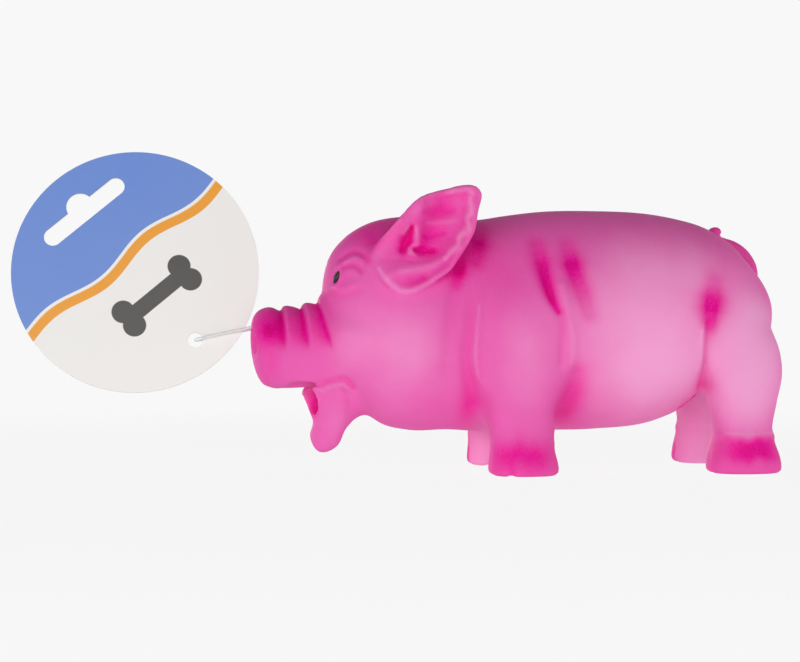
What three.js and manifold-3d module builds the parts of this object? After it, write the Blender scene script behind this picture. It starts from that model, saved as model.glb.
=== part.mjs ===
// A squeezable latex pig toy for dogs, with its fibre filling, squeeze voice and swing tag.
// Units are millimetres. The pig stands on the floor at z = 0 and looks along -X, and +Z is up.
// While it is built, x = 0 is the seam between head and body. At the end the toy is centred in x.

import * as THREE from "three";
import { mergeVertices } from "three/addons/utils/BufferGeometryUtils.js";
import Module from "manifold-3d";

const wasm = await Module();
wasm.setup();

// Fits and walls
const GAP = 0.4; // clearance between neighbouring pieces
const SKIN_WALL = 2.2; // thickness of the latex

// Body, from the neck seam back to the rump
const BODY_LENGTH = 93;
const BODY_HEIGHT = 68.8;
const BODY_WIDTH = 62;
const BELLY_CLEARANCE = 11.4; // floor to the underside of the belly

// Neck, where the head rocks on a ball inside the shoulders
const NECK_BALL_RADIUS = 45;
const NECK_PIVOT_SETBACK = 33; // from the seam back to the pivot
const NECK_PIVOT_HEIGHT = 43.5;

// Head, from the neck seam forward to the face
const HEAD_LENGTH = 46.4;
const HEAD_HEIGHT = 65.4;
const HEAD_WIDTH = 54;
const HEAD_MIDDLE_HEIGHT = 45.3; // of its fullest section above the floor
const BROW_BULGE = 1.6; // how far the brow stands in front of the face

// Snout, from the face forward to the nose
const SNOUT_LENGTH = 22.8;
const SNOUT_HEIGHT = 24.4;
const SNOUT_WIDTH = 24;
const SNOUT_MIDDLE_HEIGHT = 37.7;
const SNOUT_ROOT = 14; // how far the snout runs back into the head
const SNOUT_TILT = 0.08; // how far the nose leans forward for each millimetre of rise
const NOSE_CROWN = 2; // how far the front of the nose bulges
const WRINKLE_HEIGHT = 1.1;
const WRINKLE_COUNT = 3;
const NOSTRIL_RADIUS = 2.6;
const NOSTRIL_SPREAD = 5.2; // from the middle of the nose
const NOSTRIL_DEPTH = 1.4;

// Lower jaw
const JAW_LENGTH = 20.4; // from its hinge to its tip
const JAW_WIDTH = 17;
const JAW_THICKNESS = 14.5;
const JAW_HINGE_SETBACK = 5; // behind the face
const JAW_HINGE_HEIGHT = 24.8;
const JAW_DROP = 70; // degrees below straight ahead
const JAW_OPENS = 8; // degrees
const JAW_CLOSES = 8; // degrees
const MOUTH_RADIUS = 4.2; // of the hollow between the lips

// Ears
const EAR_LENGTH = 36;
const EAR_WIDTH = 21;
const EAR_THICKNESS = 3.4;
const EAR_CUP = 4; // how far the rim stands in front of the middle
const EAR_SETBACK = 18.9; // behind the face
const EAR_HEIGHT = 56.5; // of the root above the floor
const EAR_ROOT = 5; // how far the flap runs into the head
const EAR_FOLDS_IN = 5; // degrees
const EAR_FOLDS_OUT = 30; // degrees

// Painted eyes
const EYE_SETBACK = 1.5; // behind the face
const EYE_HEIGHT = 59.3;
const EYE_LENGTH = 4.2;
const EYE_WIDTH = 2.6;
const EYE_PAINT = 0.4; // thickness of the paint

// Legs: sizes at the sole, the ankle and the widest part, and the height of each
const LEG_SPREAD = 19.5; // from the middle of the toy to the middle of a foot
const FOOT_WIDTH = 19;
const LEG_SET_IN = 10; // from the body's side in to the middle of a leg's widest part
const FRONT_LEG_SETBACK = 11.2; // behind the neck seam
const FRONT_FOOT_LENGTH = 20.6;
const FRONT_ANKLE_HEIGHT = 8;
const FRONT_ANKLE_LENGTH = 17.8;
const SHOULDER_HEIGHT = 34;
const SHOULDER_LENGTH = 24;
const SHOULDER_LEAN = 2.5; // how far a shoulder leans forward to its top
const SHOULDER_BULGE = 2.3; // how far it stands out from the body
const SHOULDER_BULGE_HEIGHT = 45;
const REAR_LEG_FROM_RUMP = 13.8; // ahead of the end of the rump
const REAR_FOOT_LENGTH = 21.4;
const REAR_ANKLE_HEIGHT = 12.5;
const REAR_ANKLE_LENGTH = 17.6;
const THIGH_HEIGHT = 30;
const THIGH_LENGTH = 24.6;
const THIGH_LEAN = 8;
const THIGH_BULGE = 2;
const THIGH_BULGE_HEIGHT = 42;
const LEG_TOP_HEIGHT = 59;
const SOLE_EDGE = 1.4; // height of the rounded edge of a sole

// Tail, a curl that lies on the rump
const TAIL_FROM_RUMP = 12; // ahead of the end of the rump
const TAIL_ROOT_RADIUS = 3;
const TAIL_TIP_RADIUS = 1.9;
const TAIL_RISE = 1.5; // of the curl's middle above the skin
const TAIL_LIFTS = 25; // degrees

// Squeeze voice: a bellows across the belly with a reed in one end
const VOICE_SETBACK = 40; // behind the neck seam
const VOICE_HEIGHT = 46;
const BELLOWS_LENGTH = 28;
const BELLOWS_RADIUS = 15;
const BELLOWS_FOLD_DEPTH = 3.6;
const BELLOWS_FOLDS = 4;
const BELLOWS_WALL = 0.9;
const COLLAR_LENGTH = 2.4; // plain ring at each end of the bellows
const PLATE_THICKNESS = 2;
const PLATE_SPIGOT = 2; // how far a plate reaches into its collar
const PRESS_TRAVEL = 9;
const REED_TUBE_RADIUS = 4.2;
const REED_TUBE_BORE = 2.6;
const REED_TUBE_LENGTH = 13;
const REED_LENGTH = 10;
const REED_WIDTH = 3;
const REED_THICKNESS = 0.5;
const REED_WINDOW_LENGTH = 6;
const REED_PAD_LENGTH = 1.6;
const VENT_RADIUS = 1.2;
const VENT_CIRCLE = 8; // radius of the ring of vents
const VENT_COUNT = 6;

// Swing tag and the nylon loop that holds it to the nose
const TAG_RADIUS = 37.4;
const TAG_THICKNESS = 0.6;
const TAG_TURN = 40; // degrees that its top leans towards its own left
const TAG_LEAN = 12; // degrees that its face tips up
const TAG_HOLE_RADIUS = 2.3;
const TAG_HOLE_DROP = 28; // from the middle of the tag to its hole
const SLOT_LENGTH = 30;
const SLOT_WIDTH = 5.4;
const SLOT_RISE = 24.2; // from the middle of the tag to the hanging slot
const SLOT_HUMP_RADIUS = 4.2;
const SLOT_HUMP_RISE = 2; // from the middle line of the slot to the middle of its hump
const LOOP_RADIUS = 0.45; // of the nylon
const LOOP_BEND = 1.3; // radius of its turn through the tag and behind the nose
const LOOP_LENGTH = 17.9; // from the nose to the middle of the tag's hole
const LOOP_DROP = 12; // degrees that it falls away from the nose
const LOOP_HEIGHT = 44; // where it leaves the nose, above the floor
const LOOP_STANDOFF = 1.6; // from the nose to where the loop starts to sway
const LOOP_SWAY_ROOM = 1.2; // free gap there, between the loop and its anchor
const LOOP_BITE = 4; // how far the loop reaches in behind the front of the nose

// Fineness of the forms
const FORM_SIDES = 24;
const LIMB_SIDES = 18;
const INNER_SIDES = 16;
const CORD_SIDES = 8;
const TAG_SEGMENTS = 30;
const DOME_STEPS = 4;

// Shapes of the swelling forms. Each row is [along, height, width, lift]: the first is a share of the
// form's length, the others are shares of its height, width and height.
const BODY_FORM = [
  [-0.2, 0.88, 0.86, -0.05],
  [0, 0.91, 0.89, -0.045],
  [0.2, 0.985, 0.97, -0.005],
  [0.38, 1, 1, 0],
  [0.6, 0.945, 1, 0.01],
  [0.74, 0.835, 0.93, 0.018],
  [0.84, 0.7, 0.78, 0.012],
  [0.93, 0.485, 0.56, -0.01],
];
const HEAD_FORM = [
  [-0.22, 0.92, 0.97, -0.035],
  [0, 0.94, 0.98, -0.03],
  [0.206, 0.985, 1, -0.015],
  [0.476, 1, 1, 0],
  [0.678, 0.94, 0.91, 0.012],
  [0.847, 0.763, 0.7, 0.054],
  [0.938, 0.584, 0.526, 0.089],
];

// The line along which an ear joins the head
const EAR_LINE = new THREE.Vector3(0.8, 0, -0.6);

const AXIS_X = new THREE.Vector3(1, 0, 0);
const AXIS_Y = new THREE.Vector3(0, 1, 0);
const AXIS_Z = new THREE.Vector3(0, 0, 1);
const RIGHT_ANGLE = Math.PI / 2;
const radians = THREE.MathUtils.degToRad;
const at = (x, y, z) => new THREE.Vector3(x, y, z);

// Solids from closed geometry, and back again

function solidOf(geometry) {
  const bare = geometry.index ? geometry.clone() : geometry;
  bare.deleteAttribute("normal");
  bare.deleteAttribute("uv");
  const merged = mergeVertices(bare, 1e-4);
  const vertProperties = merged.attributes.position.array;
  const triVerts = new Uint32Array(merged.index.array);
  return new wasm.Manifold(new wasm.Mesh({ numProp: 3, vertProperties, triVerts }));
}

function geometryOf(solid) {
  const mesh = solid.getMesh();
  const geometry = new THREE.BufferGeometry();
  geometry.setAttribute("position", new THREE.BufferAttribute(mesh.vertProperties, 3));
  geometry.setIndex(new THREE.BufferAttribute(mesh.triVerts, 1));
  geometry.computeVertexNormals();
  return geometry;
}

// Lofted forms. A ring is one cross-section: its centre, two unit directions across it, its half sizes
// along them, and how far its two sides are cupped along the second direction.

function ring(centre, side, up, halfSide, halfUp, cup = 0) {
  return { centre, side, up, halfSide, halfUp, cup };
}

// Rings along a smooth run through stations, with a given number of steps between each two.
function smoothRun(stations, steps) {
  const places = new THREE.CatmullRomCurve3(stations.map((s) => s.centre));
  const sizes = new THREE.CatmullRomCurve3(stations.map((s) => at(s.halfSide, s.halfUp, s.cup)));
  const count = (stations.length - 1) * steps;
  return Array.from({ length: count + 1 }, (_, i) => {
    const size = sizes.getPoint(i / count);
    const { side, up } = stations[0];
    return ring(places.getPoint(i / count), side, up, size.x, size.y, size.z);
  });
}

function grown(rings, by) {
  return rings.map((r) => ({ ...r, halfSide: r.halfSide + by, halfUp: r.halfUp + by }));
}

function outwardNormal(end, inner) {
  const normal = new THREE.Vector3().crossVectors(end.side, end.up).normalize();
  const outward = new THREE.Vector3().subVectors(end.centre, inner.centre);
  return normal.dot(outward) < 0 ? normal.negate() : normal;
}

// The rings that round off an end, from the end outwards. A depth of 0 leaves the end flat.
function dome(end, inner, depth) {
  if (depth <= 0) return [];
  const normal = outwardNormal(end, inner);
  return Array.from({ length: DOME_STEPS - 1 }, (_, i) => {
    const angle = ((i + 1) / DOME_STEPS) * RIGHT_ANGLE;
    const centre = end.centre.clone().addScaledVector(normal, depth * Math.sin(angle));
    const share = Math.cos(angle);
    const [halfSide, halfUp, cup] = [end.halfSide, end.halfUp, end.cup].map((half) => half * share);
    return { ...end, centre, halfSide, halfUp, cup };
  });
}

function pole(end, inner, depth) {
  return end.centre.clone().addScaledVector(outwardNormal(end, inner), Math.max(depth, 0));
}

function ringPoints(r, sides) {
  return Array.from({ length: sides }, (_, i) => {
    const angle = (i / sides) * 2 * Math.PI;
    const across = Math.cos(angle);
    return r.centre
      .clone()
      .addScaledVector(r.side, r.halfSide * across)
      .addScaledVector(r.up, r.halfUp * Math.sin(angle) + r.cup * across * across);
  });
}

function turnFacesOut(index, points) {
  let volume = 0;
  for (let i = 0; i < index.length; i += 3) {
    const [a, b, c] = [points[index[i]], points[index[i + 1]], points[index[i + 2]]];
    volume += a.dot(new THREE.Vector3().crossVectors(b, c));
  }
  return volume < 0 ? index.reverse() : index;
}

function loft(rings, { startDome = 0, endDome = 0, sides = FORM_SIDES } = {}) {
  const first = rings[0];
  const last = rings[rings.length - 1];
  const run = [
    ...dome(first, rings[1], startDome).reverse(),
    ...rings,
    ...dome(last, rings[rings.length - 2], endDome),
  ];
  const points = run.flatMap((r) => ringPoints(r, sides));
  const startPole = points.push(pole(first, rings[1], startDome)) - 1;
  const endPole = points.push(pole(last, rings[rings.length - 2], endDome)) - 1;
  const lastRow = (run.length - 1) * sides;
  const index = [];
  for (let i = 0; i < sides; i += 1) {
    const next = (i + 1) % sides;
    for (let row = 0; row < lastRow; row += sides) {
      index.push(row + i, row + next, row + sides + next);
      index.push(row + i, row + sides + next, row + sides + i);
    }
    index.push(startPole, next, i, endPole, lastRow + i, lastRow + next);
  }
  const geometry = new THREE.BufferGeometry().setFromPoints(points);
  geometry.setIndex(turnFacesOut(index, points));
  return geometry;
}

// Plain shapes placed as solids

function placed(geometry, matrix) {
  return solidOf(geometry.applyMatrix4(matrix));
}

function ball(centre, radius, segments = FORM_SIDES) {
  const geometry = new THREE.SphereGeometry(radius, segments, segments / 2);
  return placed(geometry, new THREE.Matrix4().setPosition(centre));
}

function rod(start, end, radius, sides = FORM_SIDES) {
  const along = new THREE.Vector3().subVectors(end, start);
  const turn = new THREE.Quaternion().setFromUnitVectors(AXIS_Y, along.clone().normalize());
  const middle = start.clone().addScaledVector(along, 0.5);
  const geometry = new THREE.CylinderGeometry(radius, radius, along.length(), sides);
  return placed(geometry, new THREE.Matrix4().compose(middle, turn, at(1, 1, 1)));
}

function block(low, high) {
  const size = new THREE.Vector3().subVectors(high, low);
  const geometry = new THREE.BoxGeometry(size.x, size.y, size.z);
  return placed(geometry, new THREE.Matrix4().setPosition(low.clone().addScaledVector(size, 0.5)));
}

function turnedAbout(solid, point, axis, degrees) {
  const matrix = new THREE.Matrix4()
    .makeTranslation(point)
    .multiply(new THREE.Matrix4().makeRotationAxis(axis, radians(degrees)))
    .multiply(new THREE.Matrix4().makeTranslation(point.clone().negate()));
  return solid.transform(matrix.toArray());
}

// Cuts a hinged piece so that it clears an obstacle at each of the angles it reaches.
function clearedOf(piece, obstacle, hinge, angles) {
  return angles.reduce(
    (left, angle) => left.subtract(turnedAbout(obstacle, hinge.point, hinge.axis, -angle)),
    piece,
  );
}

// Sections across the body and the head

function sectionRings(form, { length, height, width, middle, direction, grow }) {
  const stations = form.map(([along, tall, wide, lift]) =>
    ring(
      at(direction * along * length, 0, middle + lift * height),
      AXIS_Y,
      AXIS_Z,
      (wide * width) / 2,
      (tall * height) / 2,
    ),
  );
  return grown(smoothRun(stations, 2), grow);
}

// The ring of a form at a place along x, worked out between its two neighbours.
function sectionAt(rings, x) {
  const i = rings.findIndex((r, n) => n > 0 && (rings[n - 1].centre.x - x) * (r.centre.x - x) <= 0);
  const [a, b] = [rings[i - 1], rings[i]];
  const share = (x - a.centre.x) / (b.centre.x - a.centre.x);
  return {
    middle: THREE.MathUtils.lerp(a.centre.z, b.centre.z, share),
    halfWidth: THREE.MathUtils.lerp(a.halfSide, b.halfSide, share),
    halfHeight: THREE.MathUtils.lerp(a.halfUp, b.halfUp, share),
  };
}

// How far out the skin lies at a height on a section.
function skinAt(section, z) {
  const share = (z - section.middle) / section.halfHeight;
  return section.halfWidth * Math.sqrt(Math.max(0, 1 - share * share));
}

const bodyMiddle = BELLY_CLEARANCE + BODY_HEIGHT / 2;
const rumpDepth = BODY_LENGTH * (1 - BODY_FORM[BODY_FORM.length - 1][0]);
const faceDepth = HEAD_LENGTH * (1 - HEAD_FORM[HEAD_FORM.length - 1][0]) + BROW_BULGE;
const faceX = -HEAD_LENGTH;
const noseX = faceX - SNOUT_LENGTH;

function bodyRings(grow = 0) {
  const size = { length: BODY_LENGTH, height: BODY_HEIGHT, width: BODY_WIDTH };
  return sectionRings(BODY_FORM, { ...size, middle: bodyMiddle, direction: 1, grow });
}

function headRings(grow = 0) {
  const size = { length: HEAD_LENGTH, height: HEAD_HEIGHT, width: HEAD_WIDTH };
  return sectionRings(HEAD_FORM, { ...size, middle: HEAD_MIDDLE_HEIGHT, direction: -1, grow });
}

function bodySolid(grow = 0, sides = FORM_SIDES) {
  return solidOf(loft(bodyRings(grow), { startDome: 0, endDome: rumpDepth + grow, sides }));
}

function headSolid(grow = 0, sides = FORM_SIDES) {
  return solidOf(loft(headRings(grow), { startDome: 0, endDome: faceDepth + grow, sides }));
}

// Neck: everything in front of the ball belongs to the head

const neckPivot = at(NECK_PIVOT_SETBACK, 0, NECK_PIVOT_HEIGHT);
const reach = BODY_LENGTH + HEAD_LENGTH + SNOUT_LENGTH;

function headSide(grow = 0) {
  const front = block(at(-reach, -reach, -reach), at(NECK_PIVOT_SETBACK, reach, reach));
  return front.subtract(ball(neckPivot, NECK_BALL_RADIUS + grow, 2 * FORM_SIDES));
}

// Snout

function snoutRings(grow = 0) {
  const steps = 4 * WRINKLE_COUNT;
  const up = at(-SNOUT_TILT, 0, 1).normalize();
  const section = (x, swell) => {
    const centre = at(x, 0, SNOUT_MIDDLE_HEIGHT + swell);
    return ring(centre, AXIS_Y, up, SNOUT_WIDTH / 2, SNOUT_HEIGHT / 2 + swell);
  };
  const run = Array.from({ length: steps + 1 }, (_, i) => {
    const share = i / steps;
    const wave = (1 - Math.cos(share * WRINKLE_COUNT * 2 * Math.PI)) / 2;
    return section(faceX - share * (SNOUT_LENGTH - NOSE_CROWN), (WRINKLE_HEIGHT * wave) / 2);
  });
  return grown([section(faceX + SNOUT_ROOT, 0), ...run], grow);
}

function snoutSolid(grow = 0, sides = FORM_SIDES) {
  return solidOf(loft(snoutRings(grow), { startDome: 0, endDome: NOSE_CROWN + grow, sides }));
}

// Lower jaw, a blunt spoon that hangs from its hinge under the face

const jawHinge = { point: at(faceX + JAW_HINGE_SETBACK, 0, JAW_HINGE_HEIGHT), axis: AXIS_Y };
const jawAngles = [0, JAW_CLOSES, -JAW_OPENS];

function jawPiece() {
  const along = at(-Math.cos(radians(JAW_DROP)), 0, -Math.sin(radians(JAW_DROP)));
  const front = at(-Math.sin(radians(JAW_DROP)), 0, Math.cos(radians(JAW_DROP)));
  const place = (share) => jawHinge.point.clone().addScaledVector(along, share * JAW_LENGTH);
  const station = (share, wide, thick) =>
    ring(place(share), AXIS_Y, front, (wide * JAW_WIDTH) / 2, (thick * JAW_THICKNESS) / 2);
  const stations = [
    station(-0.25, 0.96, 1),
    station(0.15, 1, 1),
    station(0.45, 0.84, 0.76),
    station(0.82, 0.6, 0.58),
  ];
  const whole = solidOf(loft(smoothRun(stations, 2), { endDome: 0.18 * JAW_LENGTH, sides: LIMB_SIDES }));
  const lip = place(0.28).addScaledVector(front, JAW_THICKNESS / 2);
  return whole.subtract(ball(lip, MOUTH_RADIUS, LIMB_SIDES));
}

// Ears, cupped flaps that lean back beside the head

function earHinge(side) {
  const x = faceX + EAR_SETBACK;
  const y = side * skinAt(sectionAt(headRings(), x), EAR_HEIGHT);
  return { point: at(x, y, EAR_HEIGHT), axis: EAR_LINE.clone().multiplyScalar(-side) };
}

function earPiece(side) {
  const hinge = earHinge(side);
  const across = EAR_LINE;
  const along = at(0.585, -0.06 * side, 0.773).normalize();
  const face = new THREE.Vector3().crossVectors(along, across).multiplyScalar(side).normalize();
  const station = (share, wide, thick, slip) => {
    const centre = hinge.point.clone().addScaledVector(along, share * EAR_LENGTH);
    centre.addScaledVector(across, slip * EAR_WIDTH);
    return ring(centre, across, face, (wide * EAR_WIDTH) / 2, (thick * EAR_THICKNESS) / 2, wide * EAR_CUP);
  };
  const root = -EAR_ROOT / EAR_LENGTH;
  const stations = [
    station(root, 0.6, 1, 0.02),
    station(0.12, 0.88, 1, 0.05),
    station(0.38, 1, 0.95, 0.06),
    station(0.66, 0.78, 0.85, -0.02),
    station(0.9, 0.44, 0.75, -0.05),
  ];
  return solidOf(loft(smoothRun(stations, 2), { endDome: 0.1 * EAR_LENGTH, sides: LIMB_SIDES }));
}

// Legs stand on flat soles and run up into the body

function legPiece(side, { x, footLength, ankleHeight, ankleLength, wideHeight, wideLength, lean, bulge, bulgeHeight }) {
  const station = (z, length, width, out = 0, on = 0) =>
    ring(at(x - on, side * (LEG_SPREAD + out), z), AXIS_X, AXIS_Y, length / 2, width / 2);
  const onBody = (z, length, rise, on) => {
    const outer = skinAt(sectionAt(bodyRings(), x - on), z) + rise;
    return station(z, length, 1.2 * FOOT_WIDTH, outer - 0.6 * FOOT_WIDTH - LEG_SPREAD, on);
  };
  const ankleWidth = (FOOT_WIDTH * ankleLength) / footLength;
  const wideOut = BODY_WIDTH / 2 - LEG_SET_IN - LEG_SPREAD - lean / 4;
  const stations = [
    station(SOLE_EDGE, footLength, FOOT_WIDTH),
    station(ankleHeight, ankleLength, ankleWidth),
    station((ankleHeight + wideHeight) / 2, (ankleLength + wideLength) / 2, FOOT_WIDTH, wideOut / 3),
    station(wideHeight, wideLength, FOOT_WIDTH, wideOut),
    onBody(bulgeHeight, 1.3 * wideLength, bulge, 0.8 * lean),
    onBody(LEG_TOP_HEIGHT, 0.75 * wideLength, -0.3 * bulge, lean),
  ];
  const sole = station(0, footLength - SOLE_EDGE, FOOT_WIDTH - SOLE_EDGE);
  return solidOf(loft([sole, ...smoothRun(stations, 2)], { endDome: SOLE_EDGE, sides: LIMB_SIDES }));
}

const frontLeg = {
  x: FRONT_LEG_SETBACK,
  footLength: FRONT_FOOT_LENGTH,
  ankleHeight: FRONT_ANKLE_HEIGHT,
  ankleLength: FRONT_ANKLE_LENGTH,
  wideHeight: SHOULDER_HEIGHT,
  wideLength: SHOULDER_LENGTH,
  lean: SHOULDER_LEAN,
  bulge: SHOULDER_BULGE,
  bulgeHeight: SHOULDER_BULGE_HEIGHT,
};
const rearLeg = {
  x: BODY_LENGTH - REAR_LEG_FROM_RUMP,
  footLength: REAR_FOOT_LENGTH,
  ankleHeight: REAR_ANKLE_HEIGHT,
  ankleLength: REAR_ANKLE_LENGTH,
  wideHeight: THIGH_HEIGHT,
  wideLength: THIGH_LENGTH,
  lean: THIGH_LEAN,
  bulge: THIGH_BULGE,
  bulgeHeight: THIGH_BULGE_HEIGHT,
};

// Tail: a tapering curl, drawn on the slope of the rump

const tailX = BODY_LENGTH - TAIL_FROM_RUMP;
const rumpSection = sectionAt(bodyRings(), tailX);
const rumpBehind = sectionAt(bodyRings(), tailX + TAIL_RISE);
const rumpTop = rumpSection.middle + rumpSection.halfHeight;
const rumpFall = rumpTop - rumpBehind.middle - rumpBehind.halfHeight;
const upSlope = at(-TAIL_RISE, 0, rumpFall).normalize();
const offSkin = at(upSlope.z, 0, -upSlope.x);

// Each point is [up the slope, across, off the skin].
const TAIL_CURL = [
  [-8.5, 0, -1.6],
  [-4.5, 0, 0.2],
  [0, 0.8, 0.6],
  [4, 2.6, 0.4],
  [7.4, 4.4, 0.3],
  [10, 3, -0.8],
  [10.2, 0, -1],
  [8, -1.8, -0.4],
];

function tailPoint([up, across, off]) {
  return at(tailX, across, rumpTop)
    .addScaledVector(upSlope, up)
    .addScaledVector(offSkin, off + TAIL_RISE - TAIL_TIP_RADIUS / 2);
}

const tailHinge = { point: tailPoint(TAIL_CURL[0]), axis: AXIS_Y };

function tailPiece() {
  const curve = new THREE.CatmullRomCurve3(TAIL_CURL.map(tailPoint));
  const steps = 3 * (TAIL_CURL.length - 1);
  const frames = curve.computeFrenetFrames(steps);
  const rings = Array.from({ length: steps + 1 }, (_, i) => {
    const radius = THREE.MathUtils.lerp(TAIL_ROOT_RADIUS, TAIL_TIP_RADIUS, i / steps);
    return ring(curve.getPointAt(i / steps), frames.normals[i], frames.binormals[i], radius, radius);
  });
  return solidOf(loft(rings, { endDome: TAIL_TIP_RADIUS, sides: CORD_SIDES }));
}

// Painted eyes, thin patches that follow the skin

function eyePiece(side) {
  const x = faceX + EYE_SETBACK;
  const last = headRings().at(-1);
  const share = Math.sqrt(1 - ((last.centre.x - x) / faceDepth) ** 2);
  const section = {
    middle: last.centre.z,
    halfWidth: last.halfSide * share,
    halfHeight: last.halfUp * share,
  };
  const centre = at(x, side * skinAt(section, EYE_HEIGHT), EYE_HEIGHT);
  const spot = new THREE.SphereGeometry(1, LIMB_SIDES, LIMB_SIDES / 2);
  const size = at(EYE_WIDTH / 2, EYE_WIDTH, EYE_LENGTH / 2);
  const paint = headSolid(GAP + EYE_PAINT).subtract(headSolid(GAP));
  return paint.intersect(placed(spot, new THREE.Matrix4().compose(centre, new THREE.Quaternion(), size)));
}

// Squeeze voice. Its parts turn about a line across the belly, which is the lathe's own axis.

const voicePlace = at(VOICE_SETBACK, 0, VOICE_HEIGHT);
const bellowsEnd = BELLOWS_LENGTH / 2;
const collarRadius = BELLOWS_RADIUS - BELLOWS_FOLD_DEPTH;
const spigotRadius = collarRadius - BELLOWS_WALL - GAP;
const basePlateInner = bellowsEnd + GAP;

function latheSolid(profile) {
  const points = profile.map(([radius, along]) => new THREE.Vector2(radius, along));
  return solidOf(new THREE.LatheGeometry(points, FORM_SIDES)).translate(voicePlace.toArray());
}

function bellowsPiece() {
  const pitch = (BELLOWS_LENGTH - 2 * COLLAR_LENGTH) / BELLOWS_FOLDS;
  const foldStart = COLLAR_LENGTH - bellowsEnd;
  const outer = [[collarRadius, -bellowsEnd]];
  for (let i = 0; i < BELLOWS_FOLDS; i += 1) {
    outer.push([collarRadius, foldStart + i * pitch]);
    outer.push([BELLOWS_RADIUS, foldStart + (i + 0.5) * pitch]);
  }
  outer.push([collarRadius, bellowsEnd - COLLAR_LENGTH], [collarRadius, bellowsEnd]);
  const inner = outer.map(([radius, along]) => [radius - BELLOWS_WALL, along]).reverse();
  return latheSolid([...outer, ...inner, outer[0]]);
}

// An end plate with a spigot that stands inside the bellows' collar. The sign picks the end.
function platePiece(sign) {
  const face = sign * basePlateInner;
  const outside = sign * (basePlateInner + PLATE_THICKNESS);
  const spigot = sign * (basePlateInner - PLATE_SPIGOT - GAP);
  const profile = [
    [0, spigot],
    [spigotRadius, spigot],
    [spigotRadius, face],
    [BELLOWS_RADIUS, face],
    [BELLOWS_RADIUS, outside],
    [0, outside],
  ];
  return latheSolid(sign > 0 ? profile : profile.reverse());
}

const spigotInner = basePlateInner - PLATE_SPIGOT - GAP;
const reedTubeEnd = spigotInner - GAP - REED_TUBE_LENGTH;
const onVoice = (x, y, z) => at(x, y, z).add(voicePlace);

function voiceBase() {
  const vents = Array.from({ length: VENT_COUNT }, (_, i) => {
    const angle = (i / VENT_COUNT) * 2 * Math.PI;
    const [x, z] = [VENT_CIRCLE * Math.cos(angle), VENT_CIRCLE * Math.sin(angle)];
    return rod(onVoice(x, 0, z), onVoice(x, BELLOWS_LENGTH, z), VENT_RADIUS, CORD_SIDES);
  });
  const bore = rod(onVoice(0, 0, 0), onVoice(0, BELLOWS_LENGTH, 0), REED_TUBE_BORE, INNER_SIDES);
  return [...vents, bore].reduce((left, cut) => left.subtract(cut), platePiece(1));
}

// The tube stands on the base plate. Its flat top has the window that the reed beats on, and a pad that
// holds the root of the reed a little proud of it.
const reedLift = 2 * GAP;
const reedBed = REED_TUBE_RADIUS - REED_THICKNESS;
const reedRootY = spigotInner - GAP - (REED_TUBE_LENGTH - REED_LENGTH) / 2;

function reedTube() {
  const [tip, foot] = [onVoice(0, reedTubeEnd, 0), onVoice(0, spigotInner - GAP, 0)];
  const tube = rod(tip, foot, REED_TUBE_RADIUS, INNER_SIDES);
  const boreEnd = reedTubeEnd + REED_TUBE_RADIUS - REED_TUBE_BORE;
  const bore = rod(onVoice(0, boreEnd, 0), onVoice(0, spigotInner, 0), REED_TUBE_BORE, INNER_SIDES);
  const flat = block(
    onVoice(-REED_TUBE_RADIUS, reedTubeEnd - GAP, reedBed),
    onVoice(REED_TUBE_RADIUS, spigotInner, REED_TUBE_RADIUS + GAP),
  );
  const windowEnd = reedRootY - REED_LENGTH + (REED_LENGTH - REED_WINDOW_LENGTH) / 2;
  const window = block(
    onVoice(-REED_WIDTH / 2 + GAP, windowEnd, 0),
    onVoice(REED_WIDTH / 2 - GAP, windowEnd + REED_WINDOW_LENGTH, REED_TUBE_RADIUS),
  );
  const pad = block(
    onVoice(-REED_WIDTH / 2, reedRootY - REED_PAD_LENGTH, reedBed - REED_THICKNESS),
    onVoice(REED_WIDTH / 2, reedRootY, reedBed + reedLift - GAP),
  );
  return tube.subtract(bore).subtract(flat).subtract(window).add(pad);
}

function reedPiece() {
  return block(
    onVoice(-REED_WIDTH / 2, reedRootY - REED_LENGTH, reedBed + reedLift),
    onVoice(REED_WIDTH / 2, reedRootY, reedBed + reedLift + REED_THICKNESS),
  );
}

// Fibre filling, with a pocket for the voice

function bodyFilling() {
  const pocketEnd = basePlateInner + PLATE_THICKNESS + GAP;
  const pocket = rod(onVoice(0, -pocketEnd, 0), onVoice(0, pocketEnd, 0), BELLOWS_RADIUS + GAP);
  const slit = block(
    onVoice(-BELLOWS_RADIUS, -BODY_WIDTH, -2 * GAP),
    onVoice(BELLOWS_RADIUS, 0, 2 * GAP),
  );
  return bodySolid(-SKIN_WALL - GAP, INNER_SIDES).subtract(headSide()).subtract(pocket).subtract(slit);
}

function headFilling() {
  return headSolid(-SKIN_WALL - GAP, INNER_SIDES).intersect(headSide(GAP));
}

// Swing tag. It is built at the nose with the loop along -X, then leans and drops as one.

const tagFrame = new THREE.Matrix4()
  .makeTranslation(noseX, 0, LOOP_HEIGHT)
  .multiply(new THREE.Matrix4().makeRotationAxis(AXIS_Y, radians(-LOOP_DROP)))
  .multiply(new THREE.Matrix4().makeRotationAxis(AXIS_X, radians(-TAG_LEAN)));
const onTag = (x, y, z) => at(x, y, z).applyMatrix4(tagFrame);

function slotPath() {
  const end = SLOT_LENGTH / 2 - SLOT_WIDTH / 2;
  const half = SLOT_WIDTH / 2;
  const meet = Math.asin((half - SLOT_HUMP_RISE) / SLOT_HUMP_RADIUS);
  const path = new THREE.Path();
  path.absarc(end, SLOT_RISE, half, -RIGHT_ANGLE, RIGHT_ANGLE);
  path.absarc(0, SLOT_RISE + SLOT_HUMP_RISE, SLOT_HUMP_RADIUS, meet, Math.PI - meet);
  path.absarc(-end, SLOT_RISE, half, RIGHT_ANGLE, 3 * RIGHT_ANGLE);
  path.closePath();
  return path;
}

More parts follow.
